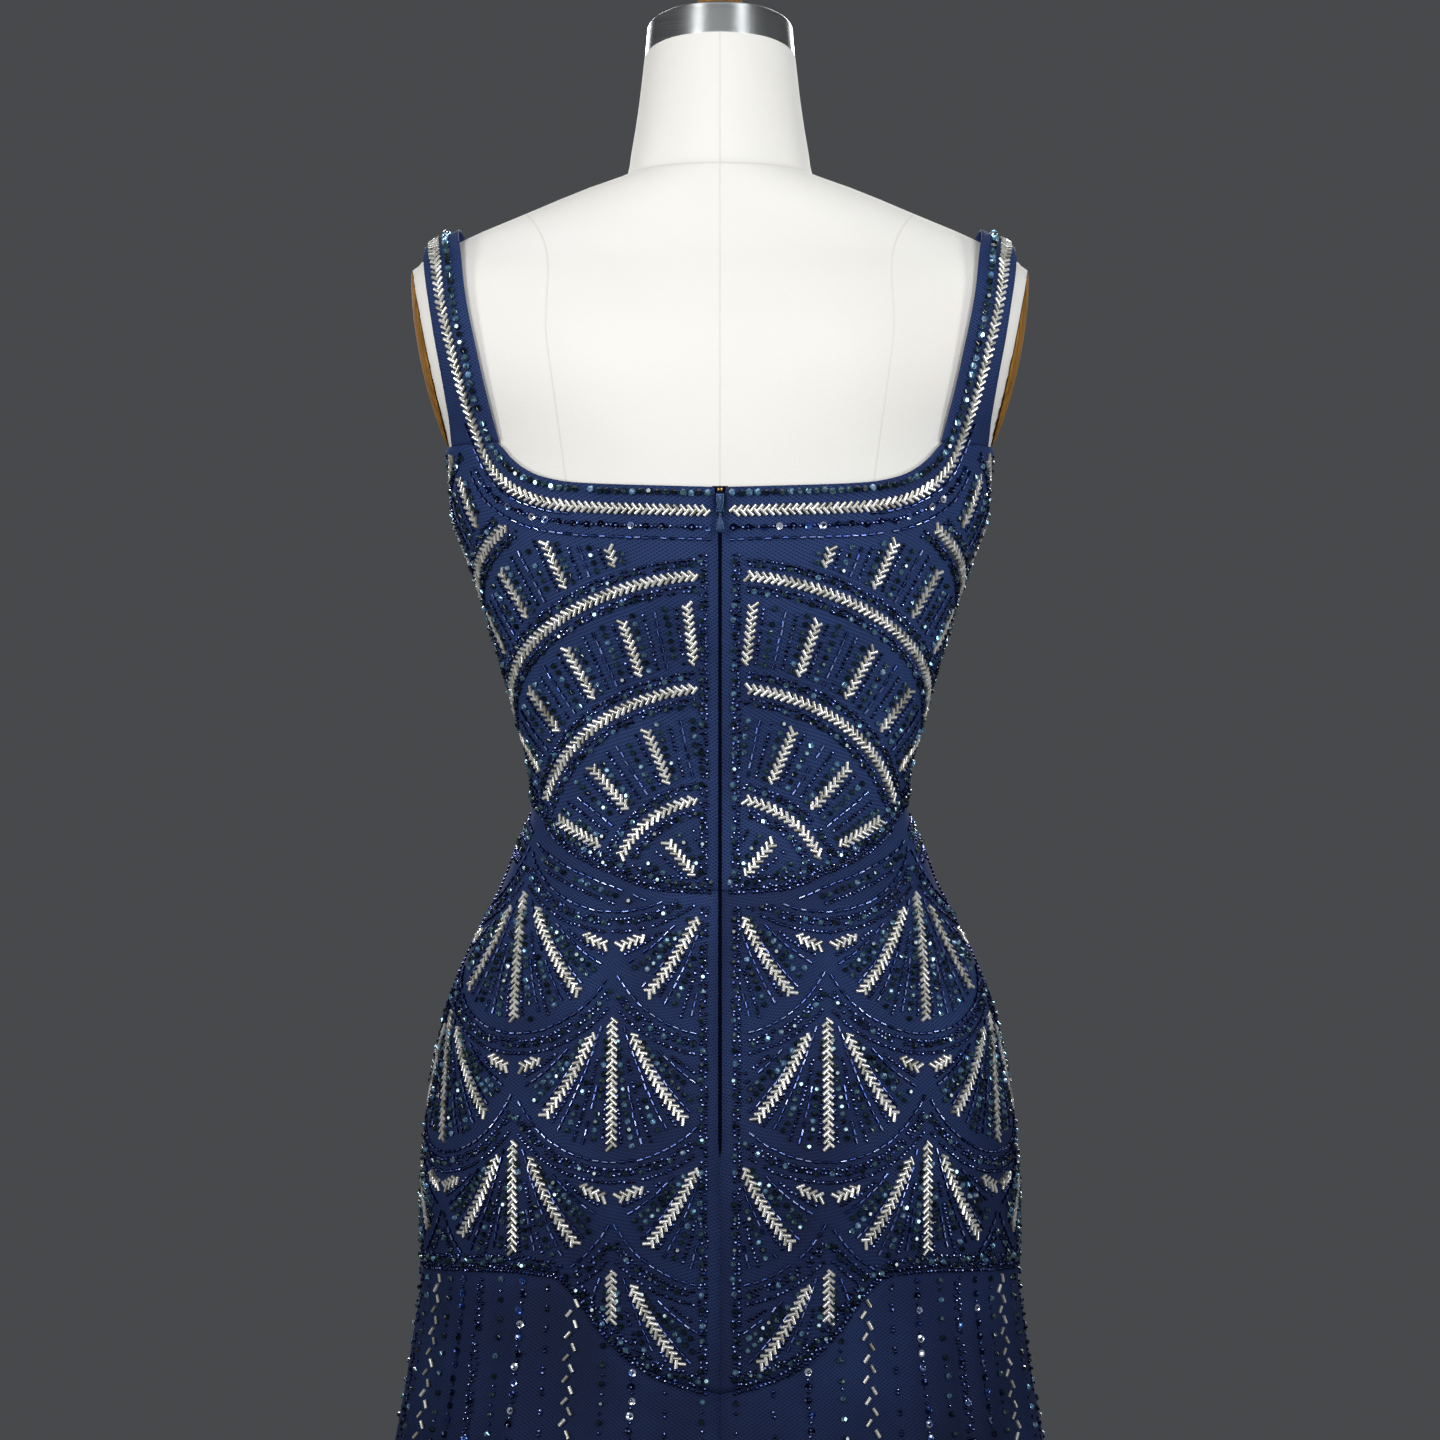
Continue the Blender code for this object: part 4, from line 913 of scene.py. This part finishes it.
# Each pattern's threads: kind, pitch, first bead, distance to the side, turn on the cloth, share kept, stray.
beadPatterns = dict(
    braid=[("silver", 0.0042, 0.0, 0.00132, 47, 1, 0.0), ("silver", 0.0042, 0.0021, -0.00132, -47, 1, 0.0)],
    crystals=[("crystal", 0.0051, 0.0, 0.0, None, 0.97, 0.0002)],
    gems=[("gem", 0.0050, 0.0, 0.0, None, 0.95, 0.00025)],
    seeds=[("seed", 0.0028, 0.0, 0.0, 0, 0.97, 0.0002)],
    dashes=[("dash", 0.0054, 0.0, 0.0, 0, 0.98, 0.00015)],
    sequins=[("sequin", 0.0092, 0.0, 0.0, 0, 0.94, 0.0003), ("small", 0.0092, 0.0, 0.0, 0, 0.94, 0.0001),
             ("seed", 0.0092, 0.0036, 0.0, 0, 1, 0.0002), ("seed", 0.0092, 0.0060, 0.0, 0, 1, 0.0002)],
    cluster=[("gem", 0.0052, 0.0, 0.0006, None, 0.9, 0.0012), ("seed", 0.0030, 0.0, 0.0031, 0, 0.9, 0.0007),
             ("seed", 0.0027, 0.0013, -0.0028, 0, 0.93, 0.0006), ("seed", 0.0052, 0.0026, 0.0004, 0, 0.9, 0.0010)],
    outline=[("seed", 0.0028, 0.0, -0.0015, 0, 0.95, 0.0004), ("gem", 0.0092, 0.0, 0.0013, None, 0.93, 0.0005),
             ("seed", 0.0092, 0.0036, 0.0013, 0, 0.95, 0.0005), ("seed", 0.0092, 0.0062, 0.0014, 0, 0.95, 0.0005)],
    zigzag=[("silver", 0.0130, 0.0, 0.0021, 28, 0.97, 0.0003),
            ("silver", 0.0130, 0.0065, -0.0021, -40, 0.97, 0.0003)],
    double=[("seed", 0.0036, 0.0, 0.0014, 0, 0.9, 0.0005), ("seed", 0.0036, 0.0018, -0.0014, 0, 0.9, 0.0005),
            ("sequin", 0.0230, 0.0050, 0.0004, 0, 0.8, 0.0005)],
    stream=[("gem", 0.0116, 0.0, 0.0, None, 0.95, 0.0004), ("small", 0.0116, 0.0058, 0.0, 0, 0.5, 0.0004)],
    spangle=[("sequin", 0.0086, 0.0, 0.0, 0, 0.95, 0.0005), ("small", 0.0086, 0.0, 0.0, 0, 0.95, 0.0002),
             ("small", 0.0086, 0.0043, 0.0, 0, 0.9, 0.0004)],
    twins=[("seed", 0.0125, 0.0, 0.0, 0, 0.95, 0.0003), ("seed", 0.0125, 0.0025, 0.0, 0, 0.95, 0.0003)],
)
sewing = dict(      # metres, except height, lean and sizeSpread, which are shares, and turnSpread in degrees
    height=0.9, sunk=0.00015, turnSpread=2.0, lean=0.5, sizeSpread=0.035, first=0.001, last=0.0008,
    alongSpread=0.0004, onSequin=0.0011,
)
sewn = {}      # the beads of each cloth piece, by kind


# Beads on one cloth piece: each has a place, the thread's direction, the cloth's normal and its own tint.
def sew(node, kind, place, ahead, up, turn=0.0, raised=0.0):
    if not len(place):
        return
    about = beadKinds[kind]
    count = len(place)
    if turn is None:
        turn = chance.uniform(0, 360, count)
    else:
        turn = turn + chance.normal(0, sewing["turnSpread"], count)
    side = np.cross(up, ahead)
    turn = np.radians(turn)[:, None]
    ahead = ahead * np.cos(turn) + side * np.sin(turn)
    lean = np.radians(about["wobble"]) * chance.normal(0, sewing["lean"], (count, 2))
    side = np.cross(up, ahead)
    leaning = unit(up + ahead * lean[:, :1] + side * lean[:, 1:])
    ahead = unit(ahead - leaning * (ahead * leaning).sum(axis=-1, keepdims=True))
    place = place + up * (about["size"][2] * sewing["height"] - sewing["sunk"] + raised)
    # painted glint: a pale spot or line added to each bead's tint at its top point or top edge, standing in for the
    # lamps' highlight
    body, bodySpread, paintedGlint, paintedGlintSpread, paintedFacetShine = about["tint"]
    tint = (body + bodySpread * chance.random(count))[:, None]
    paintedSpot = (paintedGlint + paintedGlintSpread * chance.random(count) ** 2)[:, None] * about["shape"]["paintedGlint"]
    tint = tint + paintedSpot + paintedFacetShine * chance.uniform(-1, 1, paintedSpot.shape)
    scale = chance.normal(1, sewing["sizeSpread"], (count, 1))
    sewn.setdefault(node, {}).setdefault(kind, []).append((place, ahead, leaning, np.clip(tint, 0, 1), scale))


# Places at an even pitch along a thread of points and normals, with one row of beads for each of the
# pattern's threads. Where a thread crosses from piece to piece, share gives the number of the piece at each
# point, and node their names.
def stitch(node, pattern, points, normals, share=None):
    lengths = np.concatenate(([0], np.cumsum(np.linalg.norm(np.diff(points, axis=0), axis=-1))))
    ahead = unit(np.gradient(points, axis=0))
    for kind, pitch, first, aside, turn, kept, stray in beadPatterns[pattern]:
        at = np.arange(first + sewing["first"], lengths[-1] - sewing["last"], pitch)
        at = at[chance.random(len(at)) < kept]
        if not len(at):
            continue
        at = at + chance.normal(0, min(stray, sewing["alongSpread"]), len(at))
        place, direction, up = (np.stack([np.interp(at, lengths, column) for column in table.T], axis=-1)
                                for table in (points, ahead, normals))
        direction, up = unit(direction), unit(up)
        across = np.cross(up, direction)
        place = place + across * (aside + chance.normal(0, 1, (len(at), 1)) * stray)
        onSequin = kind == "small" and pattern in ("sequins", "spangle") and first == 0
        raised = sewing["onSequin"] if onSequin else 0.0
        if share is None:
            sew(node, kind, place, direction, up, turn, raised=raised)
            continue
        owner = np.round(np.interp(at, lengths, share)).astype(int)
        for number, name in enumerate(node):
            own = owner == number
            sew(name, kind, place[own], direction[own], up[own], turn, raised=raised)


# The turn at an angle away from one side's centre line, towards the wearer's left.
def turnAt(side, away):
    return math.radians(270) + away if side == "front" else math.radians(90) - away


# The piece of cloth that a place on one side belongs to, s being its distance from the centre line.
def pieceName(part, side, s):
    return f"{part}_front" if side == "front" else f"{part}_back_{'left' if s > 0 else 'right'}"


# A chart of one side of the fitted part: turn as a function of the distance round from the centre line and
# the height, read from a table of arc lengths.
def makeChart(side):
    heights = np.linspace(0.66, 1.32, 221)
    away = np.radians(np.linspace(0, 90, 361))
    rows = gownPoint(turnAt(side, away)[None, :], heights[:, None])
    arcs = np.concatenate((np.zeros((len(heights), 1)),
                           np.cumsum(np.linalg.norm(np.diff(rows, axis=1), axis=-1), axis=1)), axis=1)
    reach = np.linspace(0, 0.34, 341)
    table = np.stack([np.interp(reach, row, away) for row in arcs])
    return dict(side=side, heights=heights, reach=reach, table=table, quarter=arcs[:, -1])


charts = {side: makeChart(side) for side in ("back", "front")}


def chartTurn(chart, s, z):
    heights, reach, table = chart["heights"], chart["reach"], chart["table"]
    row = np.clip((z - heights[0]) / (heights[1] - heights[0]), 0, len(heights) - 1.001)
    column = np.clip(np.abs(s) / (reach[1] - reach[0]), 0, len(reach) - 1.001)
    i, j = row.astype(int), column.astype(int)
    u, v = row - i, column - j
    low, high = (table[k, j] * (1 - v) + table[k, j + 1] * v for k in (i, i + 1))
    return turnAt(chart["side"], (low * (1 - u) + high * u) * np.sign(s))


def quarterLength(chart, z):
    return np.interp(z, chart["heights"], chart["quarter"])


neckThread = dict(back=(0.6, 50.1), front=(37.4, 0.3), steps=220, strapSteps=360, soft=20, blend=0.026)


# The neckline as one thread from the centre back, up the strap's inner edge, over the shoulder and down to
# the centre front, on the wearer's left.
def necklineEdge():
    along = np.linspace(0.002, 0.998, neckThread["strapSteps"])
    pieces = [(strapPoint(along, 0.0, cloth["wall"]), outwardStrap(along, 0.0))]
    for at, first, sign, edge in ((0, 90, -1, "backTop"), (2, 270, 1, "frontTop")):
        turns = np.radians(first + sign * np.linspace(*neckThread[edge[:-3]], neckThread["steps"]))
        pieces.insert(at, clothFace(turns, edgeHeight(edge, turns)))
    points, normals = (softened(np.concatenate(rows), neckThread["soft"]) for rows in zip(*pieces))
    return points, unit(normals)


# Outward normal of a strap, from its two tangents.
def outwardStrap(along, across):
    ahead = strapPoint(np.clip(along + 0.01, 0, 1), across) - strapPoint(np.clip(along - 0.01, 0, 1), across)
    aside = strapPoint(along, np.clip(across + 0.1, 0, 1)) - strapPoint(along, np.clip(across - 0.1, 0, 1))
    return unit(np.cross(ahead, aside))


neckPoints, neckNormals = necklineEdge()
clearance = dict(      # metres from the places where other rows or seams run
    row=0.0062, zip=0.0142, centre=0.0030, side=0.0050, waist=0.0085, hip=0.0090, border=0.0375, top=0.0055,
    rosette=0.009, middle=0.0012,
)


def fromNeckline(points):
    mirrored = np.abs(points) * [1, 0, 0] + points * [0, 1, 1]
    near = np.full(len(points), 1.0)
    for start in range(0, len(neckPoints), 3):
        near = np.minimum(near, np.linalg.norm(mirrored - neckPoints[start], axis=-1))
    return near


# Draws one thread given in the chart, only where it lies on the named part and clear of its seams.
def drawThread(side, part, s, z, pattern):
    chart = charts[side]
    turn = chartTurn(chart, s, z)
    points, normals = clothFace(turn, z)
    keep = np.abs(s) < quarterLength(chart, z) - clearance["side"]
    keep &= np.abs(s) > (clearance["zip"] if side == "back" else clearance["centre"])
    if part == "bodice":
        keep &= z > edgeHeight("waist", turn) + clearance["waist"]
        keep &= z < edgeHeight("frontTop" if side == "front" else "backTop", turn) - clearance["top"]
        keep &= fromNeckline(points) > clearance["border"]
    else:
        keep &= z < edgeHeight("waist", turn) - clearance["waist"]
        keep &= z > edgeHeight("hip", turn) + clearance["hip"]
    for run in runsOf(keep):
        stitch(pieceName(part, side, s[run].mean()), pattern, points[run], normals[run])


def steps(length):
    return max(int(length / 0.001), 12)


# Slices of the stretches where keep is true.
def runsOf(keep):
    keep = np.concatenate(([False], keep, [False]))
    starts, ends = np.flatnonzero(~keep[:-1] & keep[1:]), np.flatnonzero(keep[:-1] & ~keep[1:])
    return [slice(start, end) for start, end in zip(starts, ends) if end - start > 9]


# A crystal in a ring of seven seeds, only where it has room on the yoke.
def rosette(side, s, z):
    turns = np.linspace(0, 2 * math.pi, 8)[:-1]
    allS, allZ = np.append(s + 0.0041 * np.cos(turns), s), np.append(z + 0.0041 * np.sin(turns), z)
    chart, room = charts[side], clearance["rosette"]
    turn = chartTurn(chart, allS, allZ)
    inside = (allZ > edgeHeight("hip", turn) + room) & (allZ < edgeHeight("waist", turn) - room)
    inside &= np.abs(allS) > clearance["zip"]
    inside &= np.abs(allS) < quarterLength(chart, allZ) - clearance["side"]
    if not inside.all():
        return
    points, normals = clothFace(turn, allZ)
    ahead = unit(np.cross(normals, [0, 0, 1]))
    for kind, some in (("seed", slice(0, -1)), ("crystal", slice(-1, None))):
        sew(pieceName("yoke", side, s), kind, points[some], ahead[some], normals[some])


# Bodice: rings about the middle of the waist, with rays between them in a repeating order.
bodiceDesign = dict(
    drop=0.010, raySpan=118, rayPitch=0.0062, rings=[0.068, 0.136, 0.204, 0.272, 0.340], inner=0.0150,
    outer=0.0160, beside=[(-0.0078, "outline"), (0.0082, "outline")], first=0.017,
    rays=["braid", "seeds", "gems", "dashes", "seeds", "gems"],
)
yokeDesign = dict(
    rows=5, low=0.752, rise=0.074, width=0.130, beside=0.0016, radius=0.078, apex=0.030, curl=0.22,
    rayStep=7.4, inner=0.0185, later=(0.0, 0.012, 0.024, 0.006), short=0.050, shortLength=0.036, gap=0.0120,
    margin=0.0105, rays=["braid", "gems", "seeds", "dashes", "braid", "gems", "dashes", "braid", "seeds", "gems"],
    outlines=[(0.0, "outline"), (-0.0058, "dashes"), (0.0060, "seeds")],
    waistRows=[(0.0100, "dashes"), (0.0150, "gems"), (0.0200, "seeds"), (0.0250, "gems"), (0.0300, "dashes"),
               (0.0345, "seeds")],
    rosettes=[(0.0, 0.0075), (-0.0085, 0.0155), (0.0085, 0.0155)], rosetteGap=0.006,
)
skirtDesign = dict(      # streams a side, from the centre back to the front, and the shorter ones between them
    streams=31, first=1.8, stray=0.25, lowStart=0.46, lowSpread=0.09, start=0.0065, end=0.006,
    order=["stream", "twins", "spangle", "stream", "zigzag", "twins",
           "spangle", "stream", "double", "spangle", "stream", "zigzag"],
)


def decorateBodice(side):
    design = bodiceDesign
    centre = float(edgeHeight("waist", math.radians(270 if side == "front" else 90))) - design["drop"]
    span = math.radians(design["raySpan"])
    for radius in design["rings"]:
        for step, pattern in [(0.0, "braid")] + design["beside"]:
            bend = np.linspace(-span, span, steps(radius * 4))
            r = radius + step
            drawThread(side, "bodice", r * np.sin(bend), centre + r * np.cos(bend), pattern)
    for ring, (inner, outer) in enumerate(zip([0.0] + design["rings"][:-1], design["rings"])):
        start, end = inner + (design["inner"] if ring else design["first"]), outer - design["outer"]
        r = np.linspace(start, end, steps(end - start))
        spread = design["rayPitch"] / (0.45 * start + 0.55 * end)
        for number in range(-int(span / spread), int(span / spread) + 1):
            bend = (number + (0.5 if number >= 0 else -0.5)) * spread if ring % 2 else number * spread
            if abs(bend) < span:
                place = abs(number) + (2, 0, 3, 1, 0)[ring]
                drawThread(side, "bodice", r * math.sin(bend), centre + r * math.cos(bend),
                           design["rays"][place % len(design["rays"])])


# Yoke: rows of round scales that hang over each other. In each a fan of rays leaves a point near its top,
# its angle growing with the distance, up to the circle that the scale's edge follows.
def scaleRows():
    design = yokeDesign
    rows = []
    for number in range(design["rows"]):
        z = design["low"] + number * design["rise"]
        shift = 0.5 if number % 2 == 0 else 0.0
        rows.append([((place + shift) * design["width"], z) for place in range(-3, 3 + (shift == 0))])
    return rows


# A ray's full length, from the fan's point to a circle of the given radius about the scale's middle.
def rayReach(turn, radius):
    apex = yokeDesign["apex"]
    return apex * math.cos(turn) + math.sqrt(radius ** 2 - (apex * math.sin(turn)) ** 2)


def rayAngle(turn, r, reach):
    curl = yokeDesign["curl"]
    return turn * (1 - curl + curl * (r / reach) ** 2)


def scaleThreads(middle, height):
    design = yokeDesign
    threads = []
    bend = np.radians(np.linspace(-92, 92, 190))
    for step, pattern in design["outlines"]:
        r = design["radius"] + step
        threads.append((middle + r * np.sin(bend), height - r * np.cos(bend), pattern))
    apex, edge = design["apex"], design["radius"] - design["gap"]
    for ray in range(-9, 10):
        turn = math.radians(ray * design["rayStep"])
        reach = rayReach(turn, edge)
        r = np.linspace(design["inner"] + design["later"][abs(ray) % 4], reach * 1.04, 60)
        angle = rayAngle(turn, r, reach)
        s, z = r * np.sin(angle), apex - r * np.cos(angle)
        inside = np.hypot(s, z) < edge
        threads.append((middle + s[inside], height + z[inside], design["rays"][abs(ray)]))
    for ray in range(-9, 9):      # short rays between the outer ends of the long ones
        turn = math.radians((ray + 0.5) * design["rayStep"])
        reach = rayReach(turn, edge)
        r = np.linspace(max(design["short"], reach - design["shortLength"]), reach - 0.002, 40)
        angle = rayAngle(turn, r, reach)
        pattern = ("seeds", "dashes", "gems")[(ray if ray >= 0 else -ray - 1) % 3]
        threads.append((middle + r * np.sin(angle), height + apex - r * np.cos(angle), pattern))
    return threads


def decorateYoke(side):
    design = yokeDesign
    rows = scaleRows()
    for number, row in enumerate(rows):
        above = [centre for later in rows[number + 1:number + 3] for centre in later]
        for middle, height in row:
            threads = scaleThreads(middle, height)
            if row is rows[-1]:      # cut off by the waist, and filled with rows along the seam
                threads = threads[:len(design["outlines"])]
            for s, z, pattern in threads:
                keep = np.abs(s - middle) < design["width"] / 2 - design["beside"]
                for s0, z0 in above:
                    keep &= np.hypot(s - s0, z - z0) > design["radius"] + design["margin"]
                for run in runsOf(keep):
                    drawThread(side, "yoke", s[run], z[run], pattern)
            for across, down in design["rosettes"]:
                s, z = middle + across, height + (design["apex"] - down)
                room = design["radius"] + design["rosetteGap"]
                if all(math.hypot(s - s0, z - z0) > room for s0, z0 in above):
                    rosette(side, s, z)
    s = np.linspace(-0.29, 0.29, 900)
    for offset, pattern in design["waistRows"]:
        z = edgeHeight("waist", chartTurn(charts[side], s, np.full(s.shape, 1.0))) - offset
        keep = np.zeros(s.shape, bool)
        for s0, z0 in rows[-1]:
            keep |= np.hypot(s - s0, z - z0) < design["radius"] - design["margin"]
        for run in runsOf(keep):
            drawThread(side, "yoke", s[run], z[run], pattern)


# Rows along the neckline and over the straps: pattern; distance in from the edge at the middle, at the
# strap's end and on the strap; how far below and above the strap's end it runs.
borderRows = [
    ("crystals", 0.0038, 0.0058, 0.0082, 1, 1), ("braid", 0.0145, 0.0150, 0.0164, 1, 1),
    ("sequins", 0.0245, 0.0285, 0.0300, 1, -0.0015), ("dashes", 0.0318, 0.0345, 0.0400, 1, -0.0015),
    ("dashes", 0.0190, 0.0215, 0.0245, 0.026, 0.016),
]


def outerSurface(pieces):
    points, faces, start = [], [], 0
    for piece in pieces:
        inner = readPoints(piece.data)
        normal = np.zeros(inner.size, np.float32)
        piece.data.vertex_normals.foreach_get("vector", normal)
        points.append(inner + cloth["wall"] * normal.reshape(-1, 3))
        faces.append(readCorners(piece.data).reshape(-1, 4) + start)
        start += len(inner)
    return BVHTree.FromPolygons(np.concatenate(points).tolist(), np.concatenate(faces).tolist())


def decorateNeckline():
    nodes = "bodice_back_left", "strap_left", "bodice_front"
    surface = outerSurface([cuts[node]["piece"] for node in nodes])
    ahead = unit(softened(np.gradient(neckPoints, axis=0), 12))
    away = unit(np.cross(neckNormals, ahead))
    backTop, frontTop = edges["backTop"][1].max(), edges["frontTop"][1].max()
    lift = neckPoints[:, 2] - np.where(neckPoints[:, 1] > 0, backTop, frontTop)
    blend = neckThread["blend"]
    for pattern, atMiddle, atEnd, atStrap, below, above in borderRows:
        depth = np.interp(lift, [-blend, 0, blend], [atMiddle, atEnd, atStrap])
        found = [surface.find_nearest(Vector(place))[:2] for place in neckPoints + away * depth[:, None]]
        points, normals = (np.array(rows) for rows in zip(*found))
        normals *= np.sign((normals * neckNormals).sum(axis=-1, keepdims=True))
        points, normals = softened(points, 12), unit(softened(normals, 20))
        behind = points[:, 1] > 0
        share = np.where(points[:, 2] > np.where(behind, backTop, frontTop), 1, np.where(behind, 0, 2))
        keep = points[:, 0] > np.where(behind, clearance["row"], clearance["middle"])
        keep &= (lift > -below) & (lift < above)
        for run in runsOf(keep):
            for sign, hand in ((1, "left"), (-1, "right")):
                mirror = np.array([sign, 1, 1])
                names = [f"bodice_back_{hand}", f"strap_{hand}", "bodice_front"]
                stitch(names, pattern, points[run] * mirror, normals[run] * mirror, share=share[run])


# Dense mixed beads on both sides of the waist and hip seams, a border along the zip and the seam below it,
# and plain rows beside the side seams.
def decorateSeams():
    for side, first in (("back", 1.5), ("front", 0.2)):
        away = np.radians(np.linspace(first, 89.6, 420))
        for sign in (1, -1):
            turns = turnAt(side, sign * away)
            for edge, upper, lower in (("waist", "bodice", "yoke"), ("hip", "yoke", "skirt")):
                for part, offset, pattern in ((upper, 0.0042, "cluster"), (lower, -0.0016, "seeds")):
                    face = clothFace(turns, edgeHeight(edge, turns) + offset)
                    stitch(pieceName(part, side, sign), pattern, *face)
            if side == "back":
                for part, low, high in (("bodice", 0.999, 1.196), ("yoke", 0.702, 0.980)):
                    z = np.linspace(low, high, 200)
                    face = clothFace(chartTurn(charts[side], np.full(z.shape, sign * 0.0100), z), z)
                    stitch(pieceName(part, side, sign), "outline", *face)
            for part, low, high in (("bodice", 1.05, 1.250), ("yoke", 0.766, 1.036)):
                face = clothFace(turnAt(side, sign * math.radians(89)), np.linspace(low, high, 200))
                stitch(pieceName(part, side, sign), "seeds", *face)


def decorateSkirt():
    design = skirtDesign
    step = (180 - 2 * design["first"]) / (design["streams"] - 1)
    for sign, hand in ((1, "left"), (-1, "right")):
        for number in range(2 * design["streams"] - 1):
            away = design["first"] + step * number / 2 + float(chance.normal(0, design["stray"]))
            turn = math.radians(90 - sign * away)
            start = float(edgeHeight("hip", turn)) - design["start"]
            if number % 2:
                start = design["lowStart"] - float(chance.uniform(0, design["lowSpread"]))
            z = np.linspace(start, cloth["hem"] + design["end"], 460)
            pattern = design["order"][(number // 2 + 5 * (number % 2)) % len(design["order"])]
            node = f"skirt_back_{hand}" if away < 90 else "skirt_front"
            stitch(node, pattern, *clothFace(np.full(z.shape, turn), z))


# Joins all beads of one cloth piece in a mesh, with a material for each look.
def buildBeads(node):
    points, faces, kinds, tints, smooth, start = [], [], [], [], [], 0
    looks = []
    for kind, heaps in sewn[node].items():
        about = beadKinds[kind]
        shape = about["shape"]
        place, ahead, up, tint, scale = (np.concatenate(column) for column in zip(*heaps))
        size = np.array(about["size"]) * scale[:, None]
        world, corner = copies(shape, place, ahead, np.cross(up, ahead), up, size)
        points.append(world)
        faces.append(corner + start)
        if about["look"] not in looks:
            looks.append(about["look"])
        kinds.append(np.full(len(corner), looks.index(about["look"]), np.int32))
        smooth.append(np.full(len(corner), shape["smooth"]))
        tints.append(tint.ravel())
        start += len(world)
    mesh = meshFromArrays(f"beads_{node}", np.concatenate(points), np.concatenate(faces))
    piece = addPiece(f"beads_{node}", mesh, *[beadLooks[look] for look in looks])
    mesh.polygons.foreach_set("material_index", np.concatenate(kinds))
    mesh.polygons.foreach_set("use_smooth", np.concatenate(smooth))
    mesh.set_sharp_from_angle(angle=math.radians(75))
    tint = mesh.attributes.new("tint", "FLOAT", "POINT")
    tint.data.foreach_set("value", np.concatenate(tints).astype(np.float32))
    return piece


decorateNeckline()
decorateSeams()
for side in ("back", "front"):
    decorateBodice(side)
    decorateYoke(side)
decorateSkirt()
triangles = 0
for node, facts in cuts.items():
    beads = buildBeads(node)
    triangles += len(beads.data.polygons)
    print(f"beads on {node}: {len(beads.data.polygons)} triangles")
print(f"beads made: {triangles} triangles")

view = dict(distance=2.8, height=1.094, lens=111.1)
studio = dict(
    floorRadius=3.4, floorCorners=128, reach=2.83, aim=(0, 0, 1.36), world="#c9ccd2", strength=0.11,
    warm="#fffcf8", cool="#f8faff",
)


# A soft box with a grid that narrows its beam, so that the light falls off towards the hem. Narrowing keeps a
# lamp's whole power, so it is divided by tan(a) / (tan(a) - a), a being half the beam.
def addSoftbox(name, place, size, power, tint="#ffffff", target=studio["aim"]):
    half = math.radians(46) / 2
    data = bpy.data.lights.new(name, "AREA")
    data.shape, data.size, data.size_y, data.spread = "RECTANGLE", size[0], size[1], 2 * half
    data.energy = power * (math.tan(half) - half) / math.tan(half)
    data.color = linear(tint)[:3]
    light = addObject(name, data)
    light.location = place
    light.rotation_euler = (Vector(target) - Vector(place)).to_track_quat("-Z", "Y").to_euler()


def buildFloor():
    corners, radius = studio["floorCorners"], studio["floorRadius"]
    c, s = circle(corners)
    points = np.concatenate((np.stack((radius * c, radius * s, np.zeros(corners)), axis=-1), [(0, 0, 0)]))
    ring = np.arange(corners)
    faces = np.stack((ring, np.roll(ring, -1), np.full(corners, corners)), axis=-1)
    mesh = meshFromArrays("floor", points, faces)
    mesh.materials.append(plainFinish("paleFloor", "#cdd0d6", 0.75, grain=40.0))
    addObject("floor", mesh)


# Boxes all round the camera, so that the beads sparkle, and the same from the front.
def addLights():
    for name, sign, apart in (("Back", 1, 1.5), ("Front", -1, 0.8)):
        away = math.sqrt(studio["reach"] ** 2 - apart ** 2)
        addSoftbox(f"key{name}", (apart * sign, away * sign, 2.2), (0.8, 0.8), 40, studio["warm"])
        addSoftbox(f"fill{name}", (-apart * sign, away * sign, 2.0), (0.8, 0.8), 35, studio["cool"])
        addSoftbox(f"over{name}", (0.1 * sign, 2.9 * sign, 1.95), (0.7, 0.7), 20)
        addSoftbox(f"low{name}", (0.3 * sign, 2.9 * sign, 0.45), (0.5, 0.5), 8, target=(0, 0, 0.10))
        for side, hand in ((1, "Left"), (-1, "Right")):      # a pair of bright bands on the neck cap
            addSoftbox(f"high{name}{hand}", (1.25 * side, 1.45 * sign, 3.0), (0.35, 0.6), 7)
        addSoftbox(f"veil{name}", (0, 1.9 * sign, 3.1), (2.6, 0.4), 5)
    for side, hand in ((1, "Left"), (-1, "Right")):      # kept low, out of the cap's reflection
        addSoftbox(f"side{hand}", (2.6 * side, 1.2, 0.95), (0.7, 0.6), 32)


def setWorldAndCamera():
    world = bpy.data.worlds.new("studio")
    bpy.context.scene.world = world
    world.use_nodes = True
    back = world.node_tree.nodes["Background"]
    back.inputs["Color"].default_value = linear(studio["world"])
    back.inputs["Strength"].default_value = studio["strength"]
    bpy.context.scene.view_settings.view_transform = "Standard"
    data = bpy.data.cameras.new("camera")
    data.lens, data.sensor_width = view["lens"], 36
    camera = addObject("camera", data)
    camera.location = (0, view["distance"], view["height"])
    camera.rotation_euler = (math.pi / 2, 0, math.pi)
    bpy.context.scene.camera = camera


buildFloor()
addLights()
setWorldAndCamera()
print("studio made")
